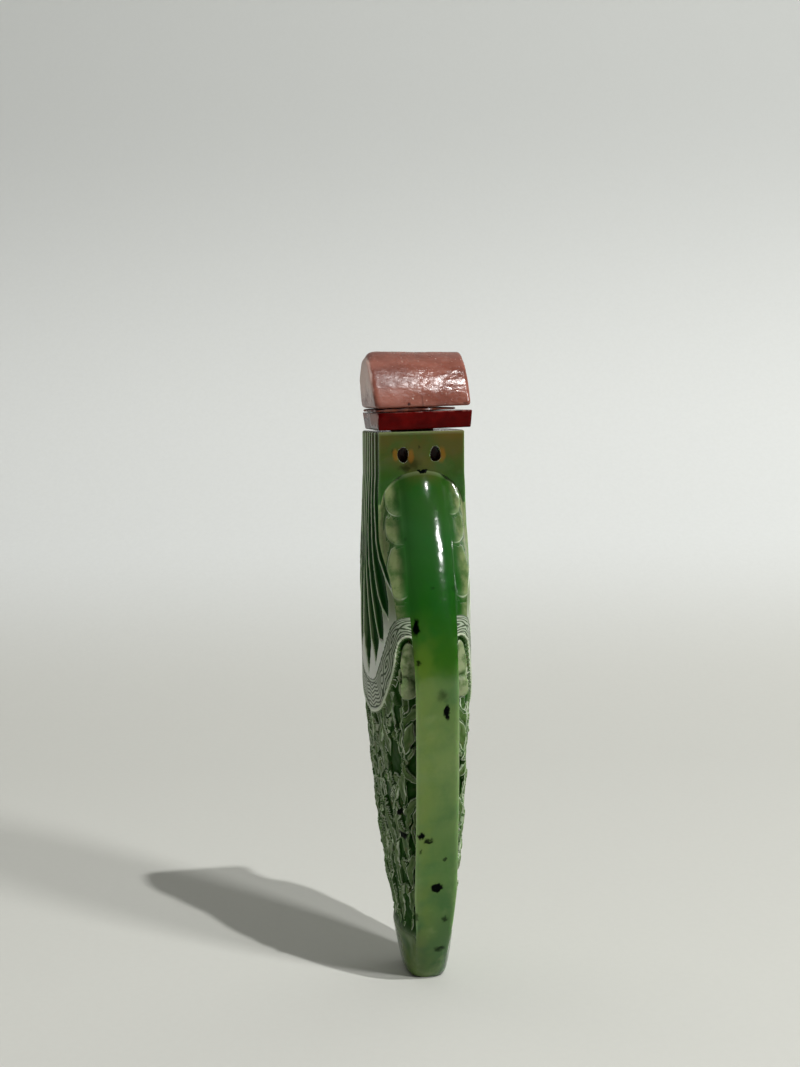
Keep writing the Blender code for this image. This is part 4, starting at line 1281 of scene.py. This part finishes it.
def collar_material():
    """Deep red stone, glossy, its -Y end frosted with wear, and a painted highlight along its worn top edge.
    """
    n = Nodes("red_stone")
    _, y, z = n.axes()
    base = n.mix(n.span(n.noise(0.4, 3.0), 0.35, 0.7), srgb(62, 0, 0), srgb(86, 2, 1))
    wave = n.math("MULTIPLY_ADD", n.noise(1.2, 3.0), 0.3 * MM, y)
    end = n.span(wave, -5.95 * MM, -5.80 * MM, 1.0, 0.0)
    base = n.mix(n.times(end, 0.85), base, srgb(172, 142, 136))
    # Painted highlight: a pale pink line along the worn top edge
    worn = n.times(n.span(z, 81.2 * MM, 81.45 * MM), n.span(n.noise(0.9, 3.0), 0.4, 0.6))
    base = n.mix(n.times(worn, 0.35), base, srgb(190, 120, 110))
    n.set(Base_Color=base, Roughness=n.most(n.times(end, 0.5), 0.14), IOR=1.54,
          Specular_IOR_Level=0.04, Subsurface_Weight=0.3, Normal=n.bump(n.noise(1.0, 3.0), 0.3, 0.08))
    n.glow((1.0, 0.15, 0.1), 0.8)
    return n.material


def cement_material():
    """Brown-red old cement, rough and a little waxy."""
    n = Nodes("cement")
    base = n.mix(n.span(n.noise(1.2, 4.0), 0.35, 0.7), srgb(74, 14, 7), srgb(122, 60, 32))
    n.set(Base_Color=base, Roughness=n.span(n.noise(2.0, 3.0), 0.3, 0.7, 0.25, 0.6), Subsurface_Weight=0.3,
          Subsurface_Scale=0.5 * MM, Normal=n.bump(n.noise(3.0, 4.0), 0.6, 0.08))
    return n.material


def cork_material():
    """Plain cork with dark specks."""
    n = Nodes("cork")
    base = n.mix(n.span(n.noise(0.8, 5.0, 0.65), 0.35, 0.7), srgb(134, 94, 56), srgb(186, 148, 104))
    base = n.mix(n.span(n.noise(2.2, 4.0, 0.7), 0.62, 0.72), base, srgb(70, 42, 24))
    n.set(Base_Color=base, Roughness=0.85, Normal=n.bump(n.noise(2.0, 4.0, 0.7), 0.7, 0.12))
    return n.material


def socket_data():
    """The socket for the cork's head in the collar's underside."""
    radius, depth = (PLUG_RADIUS + GAP) * MM, PLUG_RISE + GAP + 1.0
    mesh = bmesh.new()
    bmesh.ops.create_cone(mesh, cap_ends=True, segments=48, radius1=radius, radius2=radius, depth=depth * MM,
                          matrix=Matrix.Translation((0, 0, (NECK_TOP + PLUG_RISE + GAP - 0.5 * depth) * MM)))
    return mesh_data("socket", mesh)


def build_stopper():
    """The stopper's four pieces, each in place of its solid."""
    for name, make, finish, node, slot in (
            ("pink_stone", stone_data, stone_material, "stopper_stone", "pink_stone"),
            ("red_collar", collar_data, collar_material, "stopper_collar", "red_stone"),
            ("cement_bead", cement_data, cement_material, "stopper_cement", "cement"),
            ("cork", cork_data, cork_material, "stopper_plug", "cork")):
        piece = add(name, make())
        if node == "stopper_collar":
            cut_by(piece, [add("socket", socket_data())])
        dress(piece, finish(), 55.0)
        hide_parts(node)
        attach(piece, "root")


def photo_directions():
    """Level directions from the bottle to the camera, and to the camera's right."""
    azimuth = math.radians(CAMERA_AZIMUTH)
    out = Vector((math.sin(azimuth), -math.cos(azimuth), 0.0))
    right = Vector((math.cos(azimuth), math.sin(azimuth), 0.0))
    return out, right


def build_stage():
    """A pale paper sweep: floor, a soft bend far behind, and a wall."""
    out, right = photo_directions()
    profile = [(near, 0.0) for near in (1500.0, 600.0, 200.0, 0.0, -SWEEP_START)]
    for step in range(1, 13):
        angle = math.radians(7.5 * step)
        profile.append((-SWEEP_START - SWEEP_BEND * math.sin(angle), SWEEP_BEND * (1.0 - math.cos(angle))))
    profile.append((-SWEEP_START - SWEEP_BEND, WALL_TOP))
    mesh = bmesh.new()
    rows = []
    for toward, up in profile:
        ends = [out * toward + right * side + Vector((0, 0, up)) for side in (-SWEEP_HALF, SWEEP_HALF)]
        rows.append([mesh.verts.new(point * MM) for point in ends])
    for (a, b), (c, d) in zip(rows, rows[1:]):
        mesh.faces.new((a, b, d, c))
    data = mesh_data("paper_sweep", mesh)
    data.shade_smooth()
    sweep = add("paper_sweep", data)
    n = Nodes("paper")
    z = n.axes()[2]
    # Painted light: the paper darker on the floor, brightest low on the bend, darker again up the wall
    paper_tone_and_light = n.mix(n.span(z, 2.0 * MM, 40.0 * MM), srgb(215, 215, 208), srgb(236, 238, 235))
    paper_tone_and_light = n.mix(n.span(z, 60.0 * MM, 190.0 * MM), paper_tone_and_light, srgb(209, 211, 208))
    paper_tone_and_light = n.mix(n.span(n.noise(0.8, 5.0, 0.6), 0.3, 0.7, 0.0, 0.05), paper_tone_and_light, srgb(190, 190, 182))
    n.set(Base_Color=paper_tone_and_light, Roughness=0.9)
    data.materials.append(n.material)


def build_lights():
    """A small key lamp, a window for the polish, a broad warm fill, and a dim room."""
    out, right = photo_directions()
    for name, (side, toward, up, distance, size, power, colour) in LAMPS.items():
        lamp = bpy.data.lights.new(name, "AREA")
        lamp.shape = "DISK"
        lamp.size = size * MM
        lamp.energy = power
        lamp.color = colour
        direction = (right * side + out * toward + Vector((0, 0, up))).normalized()
        item = add(name, lamp)
        item.location = direction * distance * MM + Vector((0, 0, LAMP_AIM * MM))
        item.rotation_euler = (-direction).to_track_quat("-Z", "Y").to_euler()
    world = bpy.data.worlds.new("room")
    bpy.context.scene.world = world
    world.use_nodes = True
    background = world.node_tree.nodes["Background"]
    background.inputs[0].default_value = ROOM_COLOUR
    background.inputs[1].default_value = ROOM_STRENGTH


def build_camera():
    """The camera that the photo was taken with."""
    out, right = photo_directions()
    lens = bpy.data.cameras.new("photo_view")
    lens.sensor_fit = "VERTICAL"
    lens.sensor_height = 36.0
    lens.lens = 36.0 * FOCAL_PIXELS / IMAGE_ROWS
    lens.clip_start = 0.01
    lens.clip_end = 20.0
    camera = add("photo_view", lens)
    pitch = math.radians(CAMERA_PITCH)
    forward = -out * math.cos(pitch) + Vector((0, 0, -math.sin(pitch)))
    up = right.cross(forward)
    turn = Matrix((right, up, -forward)).transposed()
    roll = Matrix.Rotation(math.radians(-CAMERA_ROLL), 3, "Z")
    place = out * CAMERA_DISTANCE + right * CAMERA_SIDE + Vector((0, 0, CAMERA_HEIGHT))
    camera.matrix_world = Matrix.Translation(place * MM) @ (turn @ roll).to_4x4()
    bpy.context.scene.camera = camera


build_camera()
build_stage()
build_lights()
bpy.context.scene.view_settings.view_transform = "Standard"

body = build_body(jade_material())
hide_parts("bottle_body")
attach(body, "root")

build_stopper()

bpy.context.view_layer.update()
